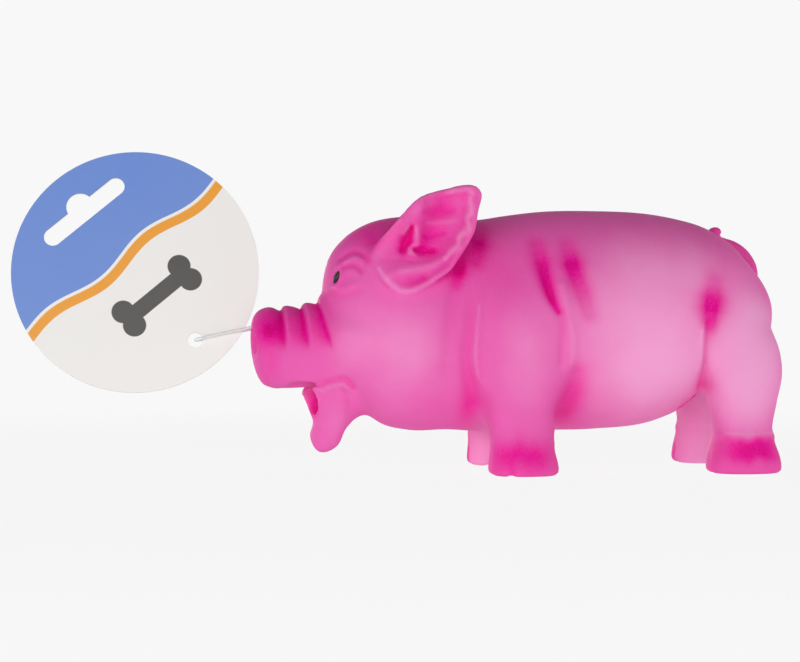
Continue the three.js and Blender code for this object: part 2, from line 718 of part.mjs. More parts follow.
function tagPiece() {
  const card = new THREE.Shape().absarc(0, 0, TAG_RADIUS, 0, 2 * Math.PI);
  card.holes.push(slotPath(), new THREE.Path().absarc(0, -TAG_HOLE_DROP, TAG_HOLE_RADIUS, 0, 2 * Math.PI));
  const cut = { depth: TAG_THICKNESS, bevelEnabled: false, curveSegments: TAG_SEGMENTS };
  const flat = new THREE.ExtrudeGeometry(card, cut);
  const stand = new THREE.Matrix4()
    .makeTranslation(-LOOP_LENGTH, 0, 0)
    .multiply(new THREE.Matrix4().makeRotationAxis(AXIS_Y, radians(LOOP_DROP - TAG_TURN)))
    .multiply(new THREE.Matrix4().makeRotationAxis(AXIS_X, RIGHT_ANGLE))
    .multiply(new THREE.Matrix4().makeTranslation(0, TAG_HOLE_DROP, -TAG_THICKNESS / 2));
  return placed(flat, tagFrame.clone().multiply(stand));
}

// A round nylon strand along a path of lines and half turns.
function strand(curves) {
  const path = new THREE.CurvePath();
  curves.forEach((curve) => path.add(curve));
  const section = new THREE.Shape().absarc(0, 0, LOOP_RADIUS, 0, 2 * Math.PI);
  const run = { steps: 10 * curves.length, extrudePath: path, curveSegments: CORD_SIDES / 2 };
  return placed(new THREE.ExtrudeGeometry(section, run), tagFrame);
}

function halfTurn(from, to, bulge) {
  return new THREE.CubicBezierCurve3(from, from.clone().add(bulge), to.clone().add(bulge), to);
}

function loopPiece() {
  const turn = LOOP_BEND - LOOP_LENGTH;
  const line = (y) => [at(-LOOP_STANDOFF, y, 0), at(turn, y, 0)];
  const [nearStart, nearEnd] = line(-LOOP_BEND);
  const [farStart, farEnd] = line(LOOP_BEND);
  const bulge = at((-LOOP_BEND * 4) / 3, 0, 0);
  return strand([
    new THREE.LineCurve3(nearStart, nearEnd),
    halfTurn(nearEnd, farEnd, bulge),
    new THREE.LineCurve3(farEnd, farStart),
  ]);
}

function loopAnchor() {
  const inside = LOOP_BITE - LOOP_BEND;
  const outside = LOOP_SWAY_ROOM - LOOP_STANDOFF;
  const bulge = at((LOOP_BEND * 4) / 3, 0, 0);
  return strand([
    new THREE.LineCurve3(at(outside, -LOOP_BEND, 0), at(inside, -LOOP_BEND, 0)),
    halfTurn(at(inside, -LOOP_BEND, 0), at(inside, LOOP_BEND, 0), bulge),
    new THREE.LineCurve3(at(inside, LOOP_BEND, 0), at(outside, LOOP_BEND, 0)),
  ]);
}

function snoutPiece(head) {
  const pierced = [-LOOP_BEND, LOOP_BEND].map((y) =>
    rod(onTag(-LOOP_BITE, y, 0), onTag(LOOP_BITE, y, 0), LOOP_RADIUS + GAP, CORD_SIDES),
  );
  const nostrils = [-NOSTRIL_SPREAD, NOSTRIL_SPREAD].map((y) =>
    ball(at(noseX - NOSTRIL_RADIUS + NOSTRIL_DEPTH, y, SNOUT_MIDDLE_HEIGHT), NOSTRIL_RADIUS, INNER_SIDES),
  );
  const shell = snoutSolid().subtract(snoutSolid(-SKIN_WALL, INNER_SIDES));
  return [...pierced, ...nostrils, head].reduce((left, cut) => left.subtract(cut), shell);
}

// Assembly

const toy = new THREE.Group();
toy.name = "latex_pig";

function finish(color, roughness, metalness = 0) {
  return new THREE.MeshStandardMaterial({ color, roughness, metalness });
}

const latex = finish("#e263ad", 0.62);
const deepLatex = finish("#d6218f", 0.62);
const eyePaint = finish("#1d1019", 0.35);
const fibre = finish("#f3f1ea", 0.95);
const voicePlastic = finish("#efe9da", 0.5);
const bellowsPlastic = finish("#d9dfe2", 0.4);
const brass = finish("#c8a24c", 0.35, 0.9);
const card = finish("#eeecea", 0.55);
const nylon = finish("#f2f4f4", 0.3);

function add(name, solid, material) {
  const mesh = new THREE.Mesh(geometryOf(solid), material);
  mesh.name = name;
  toy.add(mesh);
}

const bodyClear = bodySolid(GAP);
const headClear = headSolid(GAP);
const snoutClear = snoutSolid(GAP);

const bodyShell = bodySolid().subtract(bodySolid(-SKIN_WALL, INNER_SIDES)).subtract(headSide());
const headShell = headSolid().subtract(headSolid(-SKIN_WALL, INNER_SIDES)).intersect(headSide(GAP));
add("body_skin", bodyShell, latex);
add("head_skin", headShell, latex);
add("snout", snoutPiece(headClear), latex);
add("lower_jaw", clearedOf(jawPiece(), headClear.add(snoutClear), jawHinge, jawAngles), latex);

for (const [name, side] of [["left", -1], ["right", 1]]) {
  const earAngles = [0, -EAR_FOLDS_IN, EAR_FOLDS_OUT];
  add(`${name}_ear`, clearedOf(earPiece(side), headClear, earHinge(side), earAngles), latex);
  add(`${name}_eye`, eyePiece(side), eyePaint);
  add(`front_${name}_leg`, legPiece(side, frontLeg).subtract(bodyClear), deepLatex);
  add(`rear_${name}_leg`, legPiece(side, rearLeg).subtract(bodyClear), deepLatex);
}

add("tail", clearedOf(tailPiece(), bodyClear, tailHinge, [0, TAIL_LIFTS]), latex);
add("body_filling", bodyFilling(), fibre);
add("head_filling", headFilling(), fibre);
add("voice_bellows", bellowsPiece(), bellowsPlastic);
add("voice_press_plate", platePiece(-1), voicePlastic);
add("voice_base", voiceBase(), voicePlastic);
add("reed_tube", reedTube(), voicePlastic);
add("reed_tongue", reedPiece(), brass);
add("tag_loop", loopPiece(), nylon);
add("loop_anchor", loopAnchor(), nylon);
add("hang_tag", tagPiece(), card);

// The origin is on the floor, under the middle of the toy with its tag.
const box = new THREE.Box3().setFromObject(toy, true);
toy.position.x = -(box.min.x + box.max.x) / 2;

export default toy;
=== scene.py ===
"""A latex pig for a dog to chew, with its fibre filling, squeeze voice and round swing tag."""

import logging
import math
from dataclasses import dataclass
from enum import Enum
from typing import Any, Sequence

import bmesh
import bpy
import numpy as np
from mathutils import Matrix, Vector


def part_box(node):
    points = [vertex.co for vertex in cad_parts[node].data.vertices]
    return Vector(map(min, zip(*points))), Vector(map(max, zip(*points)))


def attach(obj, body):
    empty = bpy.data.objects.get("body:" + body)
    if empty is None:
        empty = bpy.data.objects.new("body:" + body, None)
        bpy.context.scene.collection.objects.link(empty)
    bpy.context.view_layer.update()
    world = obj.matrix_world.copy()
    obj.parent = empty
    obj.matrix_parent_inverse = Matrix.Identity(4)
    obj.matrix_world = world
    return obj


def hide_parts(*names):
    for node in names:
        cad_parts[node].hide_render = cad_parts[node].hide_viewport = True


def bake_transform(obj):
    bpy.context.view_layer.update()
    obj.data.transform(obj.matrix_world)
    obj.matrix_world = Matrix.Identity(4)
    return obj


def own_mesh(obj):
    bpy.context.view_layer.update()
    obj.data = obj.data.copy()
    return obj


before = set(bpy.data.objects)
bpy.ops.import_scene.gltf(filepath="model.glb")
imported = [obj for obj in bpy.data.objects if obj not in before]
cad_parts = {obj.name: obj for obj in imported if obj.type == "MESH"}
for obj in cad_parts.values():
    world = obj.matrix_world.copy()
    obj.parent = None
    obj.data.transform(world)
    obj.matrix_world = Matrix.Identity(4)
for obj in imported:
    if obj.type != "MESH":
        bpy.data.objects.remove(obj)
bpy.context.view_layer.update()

import openvdb
from bpy.types import Material, Mesh, Object
from mathutils import Matrix, Vector
from numpy import ndarray as Array

LOG = logging.getLogger("pig")
MM = 0.001
BODY_LENGTH = 93.0
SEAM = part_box("body_skin")[1].x - BODY_LENGTH * MM  # the neck seam, where the pig's own x is 0
BETWEEN_LEGS = 40.0  # an x between the front and the rear legs
FAR = 12.0  # how far from a surface its distances are kept, in millimetres
Options = dict[Any, Any] | None
Pair = tuple[float, float]
Pairs = tuple[Pair, ...]
Triple = tuple[float, float, float]
Ramp = tuple[float, ...]  # numbers spaced evenly along a line
Mark = tuple[Pairs, Ramp, float]  # a path, its half widths along it and how much
Spot = tuple[float, float, float, float, float]  # a soft spot's x and z, half its length and height, and how much


class Slot(Enum):
    """The record's material slots."""

    LATEX = "latex"
    EYE = "eye_paint"
    FIBRE = "fibre"
    BELLOWS = "bellows_plastic"
    VOICE = "voice_plastic"
    BRASS = "brass"
    NYLON = "nylon"
    CARD = "card"


class Side(Enum):
    """The toy's two sides, as the sign of y."""

    LEFT = -1
    RIGHT = 1


def place(x: float, y: float, z: float) -> Vector:
    """A point of the pig, in millimetres from the neck seam, in the shared frame."""
    return Vector((SEAM + x * MM, y * MM, z * MM))


def linear(code: str) -> tuple[float, float, float, float]:
    """The scene-linear colour of an sRGB code such as "E56DB2".

    Args:
        code: six hexadecimal digits.

    Returns:
        Red, green, blue and an alpha of 1.
    """
    parts = [int(code[i : i + 2], 16) / 255 for i in (0, 2, 4)]
    red, green, blue = (p / 12.92 if p <= 0.04045 else ((p + 0.055) / 1.055) ** 2.4 for p in parts)
    return (red, green, blue, 1.0)


# ---------------------------------------------------------------- node trees


class Value:
    """One output of a node tree's node; arithmetic on it adds Math nodes."""

    def __init__(self, nodes: "Nodes", socket: bpy.types.NodeSocket) -> None:
        """Keeps the tree and the output socket."""
        self.nodes = nodes
        self.socket = socket

    def math(self, operation: str, *others: Any) -> "Value":
        """A Math node on this value and the others, in order."""
        inputs = dict(enumerate((self, *others)))
        return self.nodes.out("ShaderNodeMath", {"operation": operation}, inputs)

    def __add__(self, other: Any) -> "Value":
        """self + other"""
        return self.math("ADD", other)

    def __radd__(self, other: float) -> "Value":
        """other + self"""
        return self.math("ADD", other)

    def __sub__(self, other: Any) -> "Value":
        """self - other"""
        return self.math("SUBTRACT", other)

    def __rsub__(self, other: float) -> "Value":
        """other - self"""
        return self.nodes.out("ShaderNodeMath", {"operation": "SUBTRACT"}, {0: other, 1: self})

    def __mul__(self, other: Any) -> "Value":
        """self * other"""
        return self.math("MULTIPLY", other)

    def __rmul__(self, other: float) -> "Value":
        """other * self"""
        return self.math("MULTIPLY", other)

    def __truediv__(self, other: Any) -> "Value":
        """self / other"""
        return self.math("DIVIDE", other)

    def above(self, low: Any, high: Any) -> "Value":
        """0 below low, 1 above high and smooth between; the other way round where low is higher."""
        settings = {"interpolation_type": "SMOOTHSTEP", "clamp": True}
        return self.nodes.out("ShaderNodeMapRange", settings, {"Value": self, 1: low, 2: high})


class Nodes:
    """A node tree, and the one place where its nodes are made."""

    def __init__(self, tree: bpy.types.NodeTree) -> None:
        """Starts from an empty tree."""
        self.tree = tree
        tree.nodes.clear()

    def node(self, kind: str, settings: Options = None, inputs: Options = None) -> bpy.types.Node:
        """Makes a node.

        Args:
            kind: the node's type name.
            settings: its properties, set first.
            inputs: values or Values for its sockets, by name or index.

        Returns:
            The node.
        """
        made = self.tree.nodes.new(kind)
        for name, setting in (settings or {}).items():
            setattr(made, name, setting)
        for key, given in (inputs or {}).items():
            socket = made.inputs[key]
            if isinstance(given, Value):
                self.tree.links.new(given.socket, socket)
            else:
                socket.default_value = given
        return made

    def out(self, kind: str, settings: Options = None, inputs: Options = None, output: Any = 0) -> Value:
        """Makes a node and gives one of its outputs as a Value."""
        return Value(self, self.node(kind, settings, inputs).outputs[output])

    def blend(self, share: Any, first: Any, second: Any) -> Value:
        """A colour that goes from the first to the second as share goes from 0 to 1."""
        inputs = {0: share, 6: first, 7: second}
        return self.out("ShaderNodeMix", {"data_type": "RGBA"}, inputs, 2)


class Recipe(Nodes):
    """The nodes of one material round one Principled shader."""

    def __init__(self, name: str) -> None:
        """Starts the material.

        Args:
            name: the material's name.
        """
        self.material = bpy.data.materials.new(name)
        self.material.use_nodes = True
        super().__init__(self.material.node_tree)
        self.coordinates = self.out("ShaderNodeTexCoord", output="Object")

    def attribute(self, name: str) -> Value:
        """A number that the mesh carries at its points."""
        return self.out("ShaderNodeAttribute", {"attribute_name": name}, output="Fac")

    def noise(self, scale: float, detail: float = 2.0, at: Value | None = None) -> Value:
        """Noise from 0 to 1, of so many grains to the metre."""
        inputs = {"Vector": at or self.coordinates, "Scale": scale, "Detail": detail}
        return self.out("ShaderNodeTexNoise", {}, inputs)

    def cells(self, scale: float) -> Value:
        """The distance to the nearest of many scattered points."""
        return self.out("ShaderNodeTexVoronoi", {}, {"Vector": self.coordinates, "Scale": scale})

    def stretched(self, x: float, y: float, z: float) -> Value:
        """Object coordinates with a scale of their own along each axis."""
        return self.out("ShaderNodeMapping", {}, {"Vector": self.coordinates, "Scale": (x, y, z)})

    def bump(self, height: Value, depth: float, strength: float = 1.0) -> Value:
        """A bumped normal: depth is what a height of 1 means, in metres, and strength how much of it shows."""
        inputs = {"Strength": strength, "Distance": depth, "Height": height}
        return self.out("ShaderNodeBump", {}, inputs)

    def finish(self, **sockets: Any) -> Material:
        """Puts the shader on the material.

        Args:
            sockets: the shader's inputs, with _ for a space in the name.

        Returns:
            The finished material.
        """
        inputs = {name.replace("_", " "): given for name, given in sockets.items()}
        shader = self.out("ShaderNodeBsdfPrincipled", {}, inputs)
        self.node("ShaderNodeOutputMaterial", {}, {"Surface": shader})
        return self.material


# ---------------------------------------------------------------- finishes


@dataclass(frozen=True)
class LatexFinish:
    """Matte powdered latex, airbrushed from pale pink to magenta."""

    pale: str = "F3A3D3"
    pink: str = "EA62B2"
    magenta: str = "E80A93"
    deep: str = "CE0070"
    # the paler pink of edges, folds and rims: paint thinned by wear there, and a painted highlight on them
    rubbed_and_highlit: str = "F5A2D2"
    roughness: float = 0.55
    specular: float = 0.06
    grain_depth: float = 0.00012

    def material(self) -> Material:
        """The latex, whose paint follows the attributes tone, blush and rub; where rub is high the paint is paler, for
        paint thinned by wear and for painted highlights on edges and rims.

        Returns:
            The material.
        """
        mix = Recipe("latex")
        cloud, grain, dust = mix.noise(60, 3), mix.noise(900, 2), mix.cells(1500)
        tone = (mix.attribute("tone") + (cloud - 0.5) * 0.35).above(0.0, 1.0)
        blush, rub_and_highlight = mix.attribute("blush"), mix.attribute("rub_and_highlight")
        spray = blush * (1.1 + (cloud - 0.5) * 0.3 + (grain - 0.5) * 0.3)
        colour = mix.blend(tone, linear(self.pale), linear(self.pink))
        colour = mix.blend(spray, colour, linear(self.magenta))
        colour = mix.blend((blush - 0.86).above(0.0, 0.14) * 0.65, colour, linear(self.deep))
        # paler along edges, folds and rims: paint thinned by wear, and painted highlights
        colour = mix.blend(rub_and_highlight * (0.2 + grain * 0.6), colour, linear(self.rubbed_and_highlit))
        powder = dust.above(0.32, 0.06) * grain * 0.2
        colour = mix.blend(powder, colour, linear(self.pale))
        height = grain * 0.6 + mix.noise(2600, 1) * 0.4
        return mix.finish(
            Base_Color=colour,
            Roughness=self.roughness + (grain - 0.5) * 0.2 + powder * 0.4,
            Specular_IOR_Level=self.specular,
            Normal=mix.bump(height, self.grain_depth, 0.55),
        )


@dataclass(frozen=True)
class EyeFinish:
    """Thick dark gloss paint, a little thinner towards its edge."""

    dark: str = "120B10"
    edge: str = "3A1C30"
    specular: float = 0.3

    def material(self) -> Material:
        """The paint, with brush ripples.

        Returns:
            The material.
        """
        mix = Recipe("eye_paint")
        ripple = mix.noise(700, 2)
        colour = mix.blend(mix.attribute("edge"), linear(self.dark), linear(self.edge))
        roughness = 0.22 + ripple * 0.14
        normal = mix.bump(ripple, 0.00008, 0.4)
        return mix.finish(Base_Color=colour, Roughness=roughness, Specular_IOR_Level=self.specular, Normal=normal)


@dataclass(frozen=True)
class CardFinish:
    """Coated card: plain bands of colour on its faces and bare board at its edges."""

    blue: str = "6287D2"
    orange: str = "EC9A06"
    dark: str = "302E2D"
    white: str = "F1EFEC"
    board: str = "DAD3C8"
    wave: Pair = (0.17, 1.5)  # its turn to the millimetre and its height
    blue_from: float = 7.0
    stripe: Pair = (3.0, 6.0)
    soft: float = 0.1  # half the width of a printed edge

    def material(self) -> Material:
        """The card, printed by where a point is on the face (attributes across, up and cut).

        Returns:
            The material.
        """
        mix = Recipe("card")
        across, up, cut = (mix.attribute(name) for name in ("across", "up", "cut"))
        level = up - (across * self.wave[0]).math("SINE") * self.wave[1]
        low, high = self.stripe
        sky = level.above(self.blue_from - self.soft, self.blue_from + self.soft)
        stripe = level.above(low - self.soft, low + self.soft) * level.above(high + self.soft, high - self.soft)
        colour = mix.blend(sky, linear(self.white), linear(self.blue))
        colour = mix.blend(stripe, colour, linear(self.orange))
        colour = mix.blend(self._bone(across, up + 10.0), colour, linear(self.dark))
        fibre = mix.noise(1800, 4)
        bare = (cut + (fibre - 0.5) * 0.2).above(0.4, 0.6)
        colour = mix.blend(bare, colour, linear(self.board))
        colour = mix.blend(mix.noise(45, 3) * 0.05, colour, linear(self.board))
        roughness = 0.34 + bare * 0.4 + (fibre - 0.5) * 0.1
        return mix.finish(Base_Color=colour, Roughness=roughness, Normal=mix.bump(fibre, 0.00005, 0.3))

    @staticmethod
    def _bone(across: Value, up: Value) -> Value:
        """A bone on the white part, as a mask.

        Args:
            across: each point's place across the card, in millimetres.
            up: its height over the bone's middle.

        Returns:
            1 on the bone and 0 off it.
        """
        side, half = across.math("ABSOLUTE"), up.math("ABSOLUTE")
        x, y = side - 11.0, half - 2.7
        knobs = (x * x + y * y).math("SQRT").above(3.62, 3.38)
        return knobs.math("MAXIMUM", side.above(11.1, 10.9) * half.above(2.62, 2.38))


@dataclass(frozen=True)
class NylonFinish:
    """Clear drawn nylon, milky inside."""

    colour: str = "F6F7F7"
    line: str = "E2E6E8"

    def material(self) -> Material:
        """The nylon, with draw lines along it.

        Returns:
            The material.
        """
        mix = Recipe("nylon")
        lines = mix.noise(900, 2, mix.stretched(0.15, 1, 1))
        colour = mix.blend(lines * 0.4, linear(self.colour), linear(self.line))
        return mix.finish(
            Base_Color=colour,
            Roughness=0.2 + lines * 0.15,
            Transmission_Weight=0.25,
            IOR=1.53,
            Normal=mix.bump(lines, 0.00004, 0.5),
        )


@dataclass(frozen=True)
class PlasticFinish:
    """Moulded plastic with a fine spark-eroded grain."""

    name: str
    colour: str
    pale_marks: str
    roughness: float = 0.45

    def material(self) -> Material:
        """The plastic, a little paler in places where it wears.

        Returns:
            The material.
        """
        mix = Recipe(self.name)
        flow, grain = mix.noise(120, 3), mix.noise(3200, 2)
        colour = mix.blend(flow.above(0.45, 0.75) * 0.5, linear(self.colour), linear(self.pale_marks))
        roughness = self.roughness + (grain - 0.5) * 0.2
        return mix.finish(Base_Color=colour, Roughness=roughness, Normal=mix.bump(grain, 0.00006, 0.6))


@dataclass(frozen=True)
class BrassFinish:
    """Rolled sheet brass with its roll lines and a slight tarnish."""

    bright: str = "D3AE5B"
    dull: str = "8E6A2C"

    def material(self) -> Material:
        """The brass.

        Returns:
            The material.
        """
        mix = Recipe("brass")
        lines = mix.noise(2400, 2, mix.stretched(1, 1, 0.04))
        tarnish = mix.noise(260, 4).above(0.5, 0.8)
        colour = mix.blend(tarnish * 0.6 + lines * 0.2, linear(self.bright), linear(self.dull))
        roughness = 0.24 + lines * 0.12 + tarnish * 0.2
        return mix.finish(Base_Color=colour, Metallic=1.0, Roughness=roughness, Normal=mix.bump(lines, 0.00003, 0.5))


@dataclass(frozen=True)
class FibreFinish:
    """Loose crimped polyester fibre."""

    light: str = "F4F1EA"
    shade: str = "CFC9BD"

    def material(self) -> Material:
        """The fibre, streaked in tufts.

        Returns:
            The material.
        """
        mix = Recipe("fibre")
        streak = mix.noise(420, 5, mix.stretched(1, 0.35, 1.6))
        colour = mix.blend(streak.above(0.35, 0.7), linear(self.shade), linear(self.light))
        return mix.finish(
            Base_Color=colour,
            Roughness=0.85 + (streak - 0.5) * 0.2,
            Sheen_Weight=0.4,
            Normal=mix.bump(streak, 0.0008, 0.8),
        )


# ---------------------------------------------------------------- clay: forms kept as distances


def smoothstep(low: float, high: float, given: Any) -> Any:
    """0 at low, 1 at high, smooth between."""
    share = np.clip((given - low) / (high - low), 0, 1)
    return share * share * (3 - 2 * share)


def joined(a: Array, b: Array, radius: float) -> Array:
    """Two forms as one, with a fillet of about that radius between them."""
    near = np.clip(radius - np.abs(a - b), 0, None) / radius
    return np.minimum(a, b) - near * near * (radius / 4)


def shared(a: Array, b: Array, radius: float) -> Array:
    """What is inside both forms, with a rounded edge between them."""
    return -joined(-a, -b, radius)


def distances(form: Array, step: float) -> Array:
    """Turns a rule that is below 0 inside a form into distances from its surface, in millimetres."""
    slope = np.sqrt(sum(part * part for part in np.gradient(form, step)))
    return np.clip(form / np.maximum(slope, 1e-4), -FAR, FAR)


def spline(places: Sequence[float], heights: Sequence[float], at: Array) -> Array:
    """A smooth curve through points, straight beyond its ends.

    Args:
        places: where the points are, rising.
        heights: the curve's height at each.
        at: where it is wanted.

    Returns:
        The curve's height there.
    """
    xs, ys = np.asarray(places, float), np.asarray(heights, float)
    slopes = np.gradient(ys, xs)
    inside = np.clip(at, xs[0], xs[-1])
    i = np.clip(np.searchsorted(xs, inside) - 1, 0, len(xs) - 2)
    run = xs[i + 1] - xs[i]
    t = (inside - xs[i]) / run
    rise = ys[i] * (1 - t) ** 2 * (1 + 2 * t) + ys[i + 1] * t * t * (3 - 2 * t)
    rise = rise + run * t * (1 - t) * (slopes[i] * (1 - t) - slopes[i + 1] * t)
    beyond = np.where(at < xs[0], slopes[0], slopes[-1]) * (at - inside)
    return (rise + beyond).astype(np.float32)


def along_path(points: Sequence[Sequence[float]], x: Array, z: Array) -> tuple[Array, Array]:
    """Where each place (x, z) lies by a bent line.

    Args:
        points: the line's corners.
        x: the places' first coordinate.
        z: their second.

    Returns:
        The distance to the line, and how far along the line its nearest point is, from 0 to 1.
    """
    nearest = np.full(np.broadcast(x, z).shape, 1e9, np.float32)
    share = np.zeros_like(nearest)
    for i, ((ax, az), (bx, bz)) in enumerate(zip(points, points[1:])):
        dx, dz = bx - ax, bz - az
        t = np.clip(((x - ax) * dx + (z - az) * dz) / (dx * dx + dz * dz), 0, 1)
        away = (x - ax - t * dx) ** 2 + (z - az - t * dz) ** 2
        share = np.where(away < nearest, (i + t) / (len(points) - 1), share)
        nearest = np.minimum(nearest, away)
    return np.sqrt(nearest), share


def curve(a: Array, b: Array, c: Array, d: Array, per_side: int) -> list[Array]:
    """Points from b on towards c, on a curve that comes from a and goes on to d.

    Args:
        a: the corner before.
        b: the corner it starts from.
        c: the corner it leads to.
        d: the corner after.
        per_side: how many points.

    Returns:
        The points, the last one short of c.
    """
    points = []
    for t in np.arange(per_side) / per_side:
        bend = 2 * b + (c - a) * t + (2 * a - 5 * b + 4 * c - d) * t**2 + (3 * b - a - 3 * c + d) * t**3
        points.append(bend / 2)
    return points


def smooth_path(points: Sequence[Sequence[float]], per_side: int) -> list[Array]:
    """An open path through points, rounded between them.

    Args:
        points: its corners.
        per_side: the points to each side.

    Returns:
        The path's points.
    """
    knots = np.asarray(points, float)
    knots = np.vstack([2 * knots[0] - knots[1], knots, 2 * knots[-1] - knots[-2]])
    corners = zip(knots, knots[1:], knots[2:], knots[3:])
    return [*(point for four in corners for point in curve(*four, per_side)), knots[-2]]


def at_share(ramp: Ramp, share: Any) -> Any:
    """A ramp's number at each share of the line that its numbers are spaced along."""
    return np.interp(share, np.linspace(0, 1, len(ramp)), ramp)


def streak(points: Pairs, widths: Ramp, x: Any, z: Any, amounts: Ramp = (1.0,), crest: float = 1.0) -> Any:
    """A soft streak along a rounded line.

    Args:
        points: the line's corners.
        widths: the streak's half widths along the line.
        x: the places' first coordinate.
        z: their second.
        amounts: what it comes to along the line.
        crest: above 1, how flat its crest is.

    Returns:
        How much of the streak there is at each place.
    """
    away, share = along_path(smooth_path(points, 4), x, z)
    fall = np.minimum(crest * np.exp(-((away / at_share(widths, share)) ** 2)), 1)
    return at_share(amounts, share) * fall


def rounded_loop(points: Sequence[Sequence[float]], per_side: int) -> list[Pair]:
    """A closed outline through points, rounded between them."""
    corners = zip(*(np.roll(np.asarray(points, float), k, axis=0) for k in (1, 0, -1, -2)))
    return [tuple(point) for four in corners for point in curve(*four, per_side)]


def soft_spot(spot: Spot, x: Array, z: Array) -> Array:
    """How much of a soft spot there is at each place (x, z)."""
    at_x, at_z, long, tall, amount = spot
    return amount * np.exp(-(((x - at_x) / long) ** 2) - ((z - at_z) / tall) ** 2)


def from_side(points: Array) -> tuple[Array, Array, Array]:
    """The x of each point, how far it is from the middle plane, and its z."""
    return points[:, 0], np.abs(points[:, 1]), points[:, 2]


def front_and_rear(x: Array) -> tuple[Array, Array]:
    """Which places are by the front legs, and which by the rear ones."""
    return x < BETWEEN_LEGS, x > BETWEEN_LEGS


def outline_distance(loop: Sequence[Pair], u: Array, v: Array) -> Array:
    """The distance from each place (u, v) to a closed outline, below 0 inside it.

    Args:
        loop: the outline's corners.
        u: the places' first coordinate.
        v: their second.

    Returns:
        The distances.
    """
    inside = np.zeros(np.broadcast(u, v).shape, bool)
    for (au, av), (bu, bv) in zip(loop, [*loop[1:], loop[0]]):
        if av != bv:
            inside ^= ((av > v) != (bv > v)) & (u < (bu - au) * (v - av) / (bv - av) + au)
    away, _ = along_path([*loop, loop[0]], u, v)
    return np.where(inside, -away, away)


class Clay:
    """Half a block of points, from the pig's middle plane outwards, that holds a form's distances."""

    def __init__(self, low: Sequence[float], high: Sequence[float], step: float) -> None:
        """Lays out the points.

        Args:
            low: the lowest x, out and z, in millimetres; out starts at 0.
            high: the highest.
            step: from point to point.
        """
        self.low, self.step = np.asarray(low, float), step
        axes = [np.arange(a, b + step / 2, step, dtype=np.float32) for a, b in zip(low, high)]
        self.x, self.out, self.z = axes[0][:, None, None], axes[1][None, :, None], axes[2][None, None, :]

    def window(self, low: Sequence[float], high: Sequence[float]) -> tuple[slice, ...]:
        """The part of the block between two corners.

        Args:
            low: the lowest x, out and z.
            high: the highest.

        Returns:
            A slice for each axis.
        """
        first = np.floor((np.asarray(low) - self.low) / self.step).astype(int)
        last = np.ceil((np.asarray(high) - self.low) / self.step).astype(int)
        return tuple(slice(max(a, 0), b + 1) for a, b in zip(first, last))

    def sample(self, form: Array, points: Array) -> Array:
        """A form's distances at points of the pig, on either side.

        Args:
            form: distances on the block's points.
            points: where they are wanted, in millimetres.

        Returns:
            A distance for each point.
        """
        spots = points.copy()
        spots[:, 1] = np.abs(spots[:, 1])
        spots = (spots - self.low) / self.step
        base = np.clip(np.floor(spots).astype(int), 0, np.asarray(form.shape) - 2)
        share = np.clip(spots - base, 0, 1)
        total = np.zeros(len(points))
        for corner in np.ndindex(2, 2, 2):
            weight = np.prod(np.where(np.asarray(corner) == 1, share, 1 - share), axis=1)
            total += weight * form[tuple((base + corner).T)]
        return total

    def slope(self, form: Array, point: Sequence[float]) -> Array:
        """The direction out of a form at a point on its outer side.

        Args:
            form: distances on the block's points.
            point: in millimetres.

        Returns:
            A unit vector.
        """
        nudges = np.vstack([np.eye(3), -np.eye(3)]) * self.step
        around = self.sample(form, np.asarray(point, float) + nudges)
        way = around[:3] - around[3:]
        return way / np.linalg.norm(way)

    def surface_out(self, form: Array, x: float, z: float) -> float:
        """How far out from the middle plane a form's side is at (x, z).

        Args:
            form: distances on the block's points.
            x: the place along the toy.
            z: the height.

        Returns:
            Millimetres.
        """
        outs = np.arange(0, 45, 0.05)
        line = np.column_stack([np.full_like(outs, x), outs, np.full_like(outs, z)])
        return float(outs[np.nonzero(self.sample(form, line) < 0)[0][-1]])

    def bend(self, form: Array, points: Array, reach: float = 1.2) -> Array:
        """How sharply a form bends at points of its surface: above 0 on edges and folds, below in creases.

        Args:
            form: distances on the block's points.
            points: in millimetres.
            reach: how far round each the form is felt.

        Returns:
            The bend at each point.
        """
        nudges = np.vstack([np.eye(3), -np.eye(3)]) * reach
        around = sum(self.sample(form, points + nudge) for nudge in nudges)
        return (around - 6 * self.sample(form, points)) / reach**2

    def mesh(self, form: Array, thin: int = 1) -> tuple[Array, Array]:
        """The surface of a form and its mirror image as one closed mesh.

        Args:
            form: distances on the block's points.
            thin: take every so manyth point only.

        Returns:
            The points in millimetres, and the corners of each face.
        """
        form = form[::thin, ::thin, ::thin]
        whole = np.concatenate([form[:, :0:-1], form], axis=1).astype(np.float32)
        grid = openvdb.FloatGrid(FAR)
        grid.copyFromArray(np.ascontiguousarray(whole))
        points, quads = grid.convertToQuads(0.0)
        step = self.step * thin
        corner = np.array([self.low[0], -(form.shape[1] - 1) * step, self.low[2]])
        return points.astype(float) * step + corner, quads.astype(np.int64)


@dataclass(frozen=True)
class Loft:
    """A round form along a line, closed at both ends.

    Each row is a place along the line, the form's top and bottom there and half its width.
    """

    start: float
    rows: tuple[tuple[float, float, float, float], ...]
    end: float

    def form(self, along: Array, height: Array, out: Array, step: float) -> Array:
        """The form's distances.

        Args:
            along: each point's place along the line.
            height: its height.
            out: its distance from the middle plane.
            step: the block's step.

        Returns:
            The distances.
        """
        places = [self.start, *(row[0] for row in self.rows), self.end]
        middles = [(top + bottom) / 2 for _, top, bottom, _ in self.rows]
        halves = [((top - bottom) / 2, wide) for _, top, bottom, wide in self.rows]
        ratios = [tall / wide for tall, wide in halves]
        middle = spline(places, [middles[0], *middles, middles[-1]], along)
        ratio = spline(places, [ratios[0], *ratios, ratios[-1]], along)
        swell = spline(places, [0, *(tall * wide for tall, wide in halves), 0], along)
        ratio = np.clip(ratio, min(ratios), max(ratios))
        return distances(out * out * ratio + (height - middle) ** 2 / ratio - swell, step)


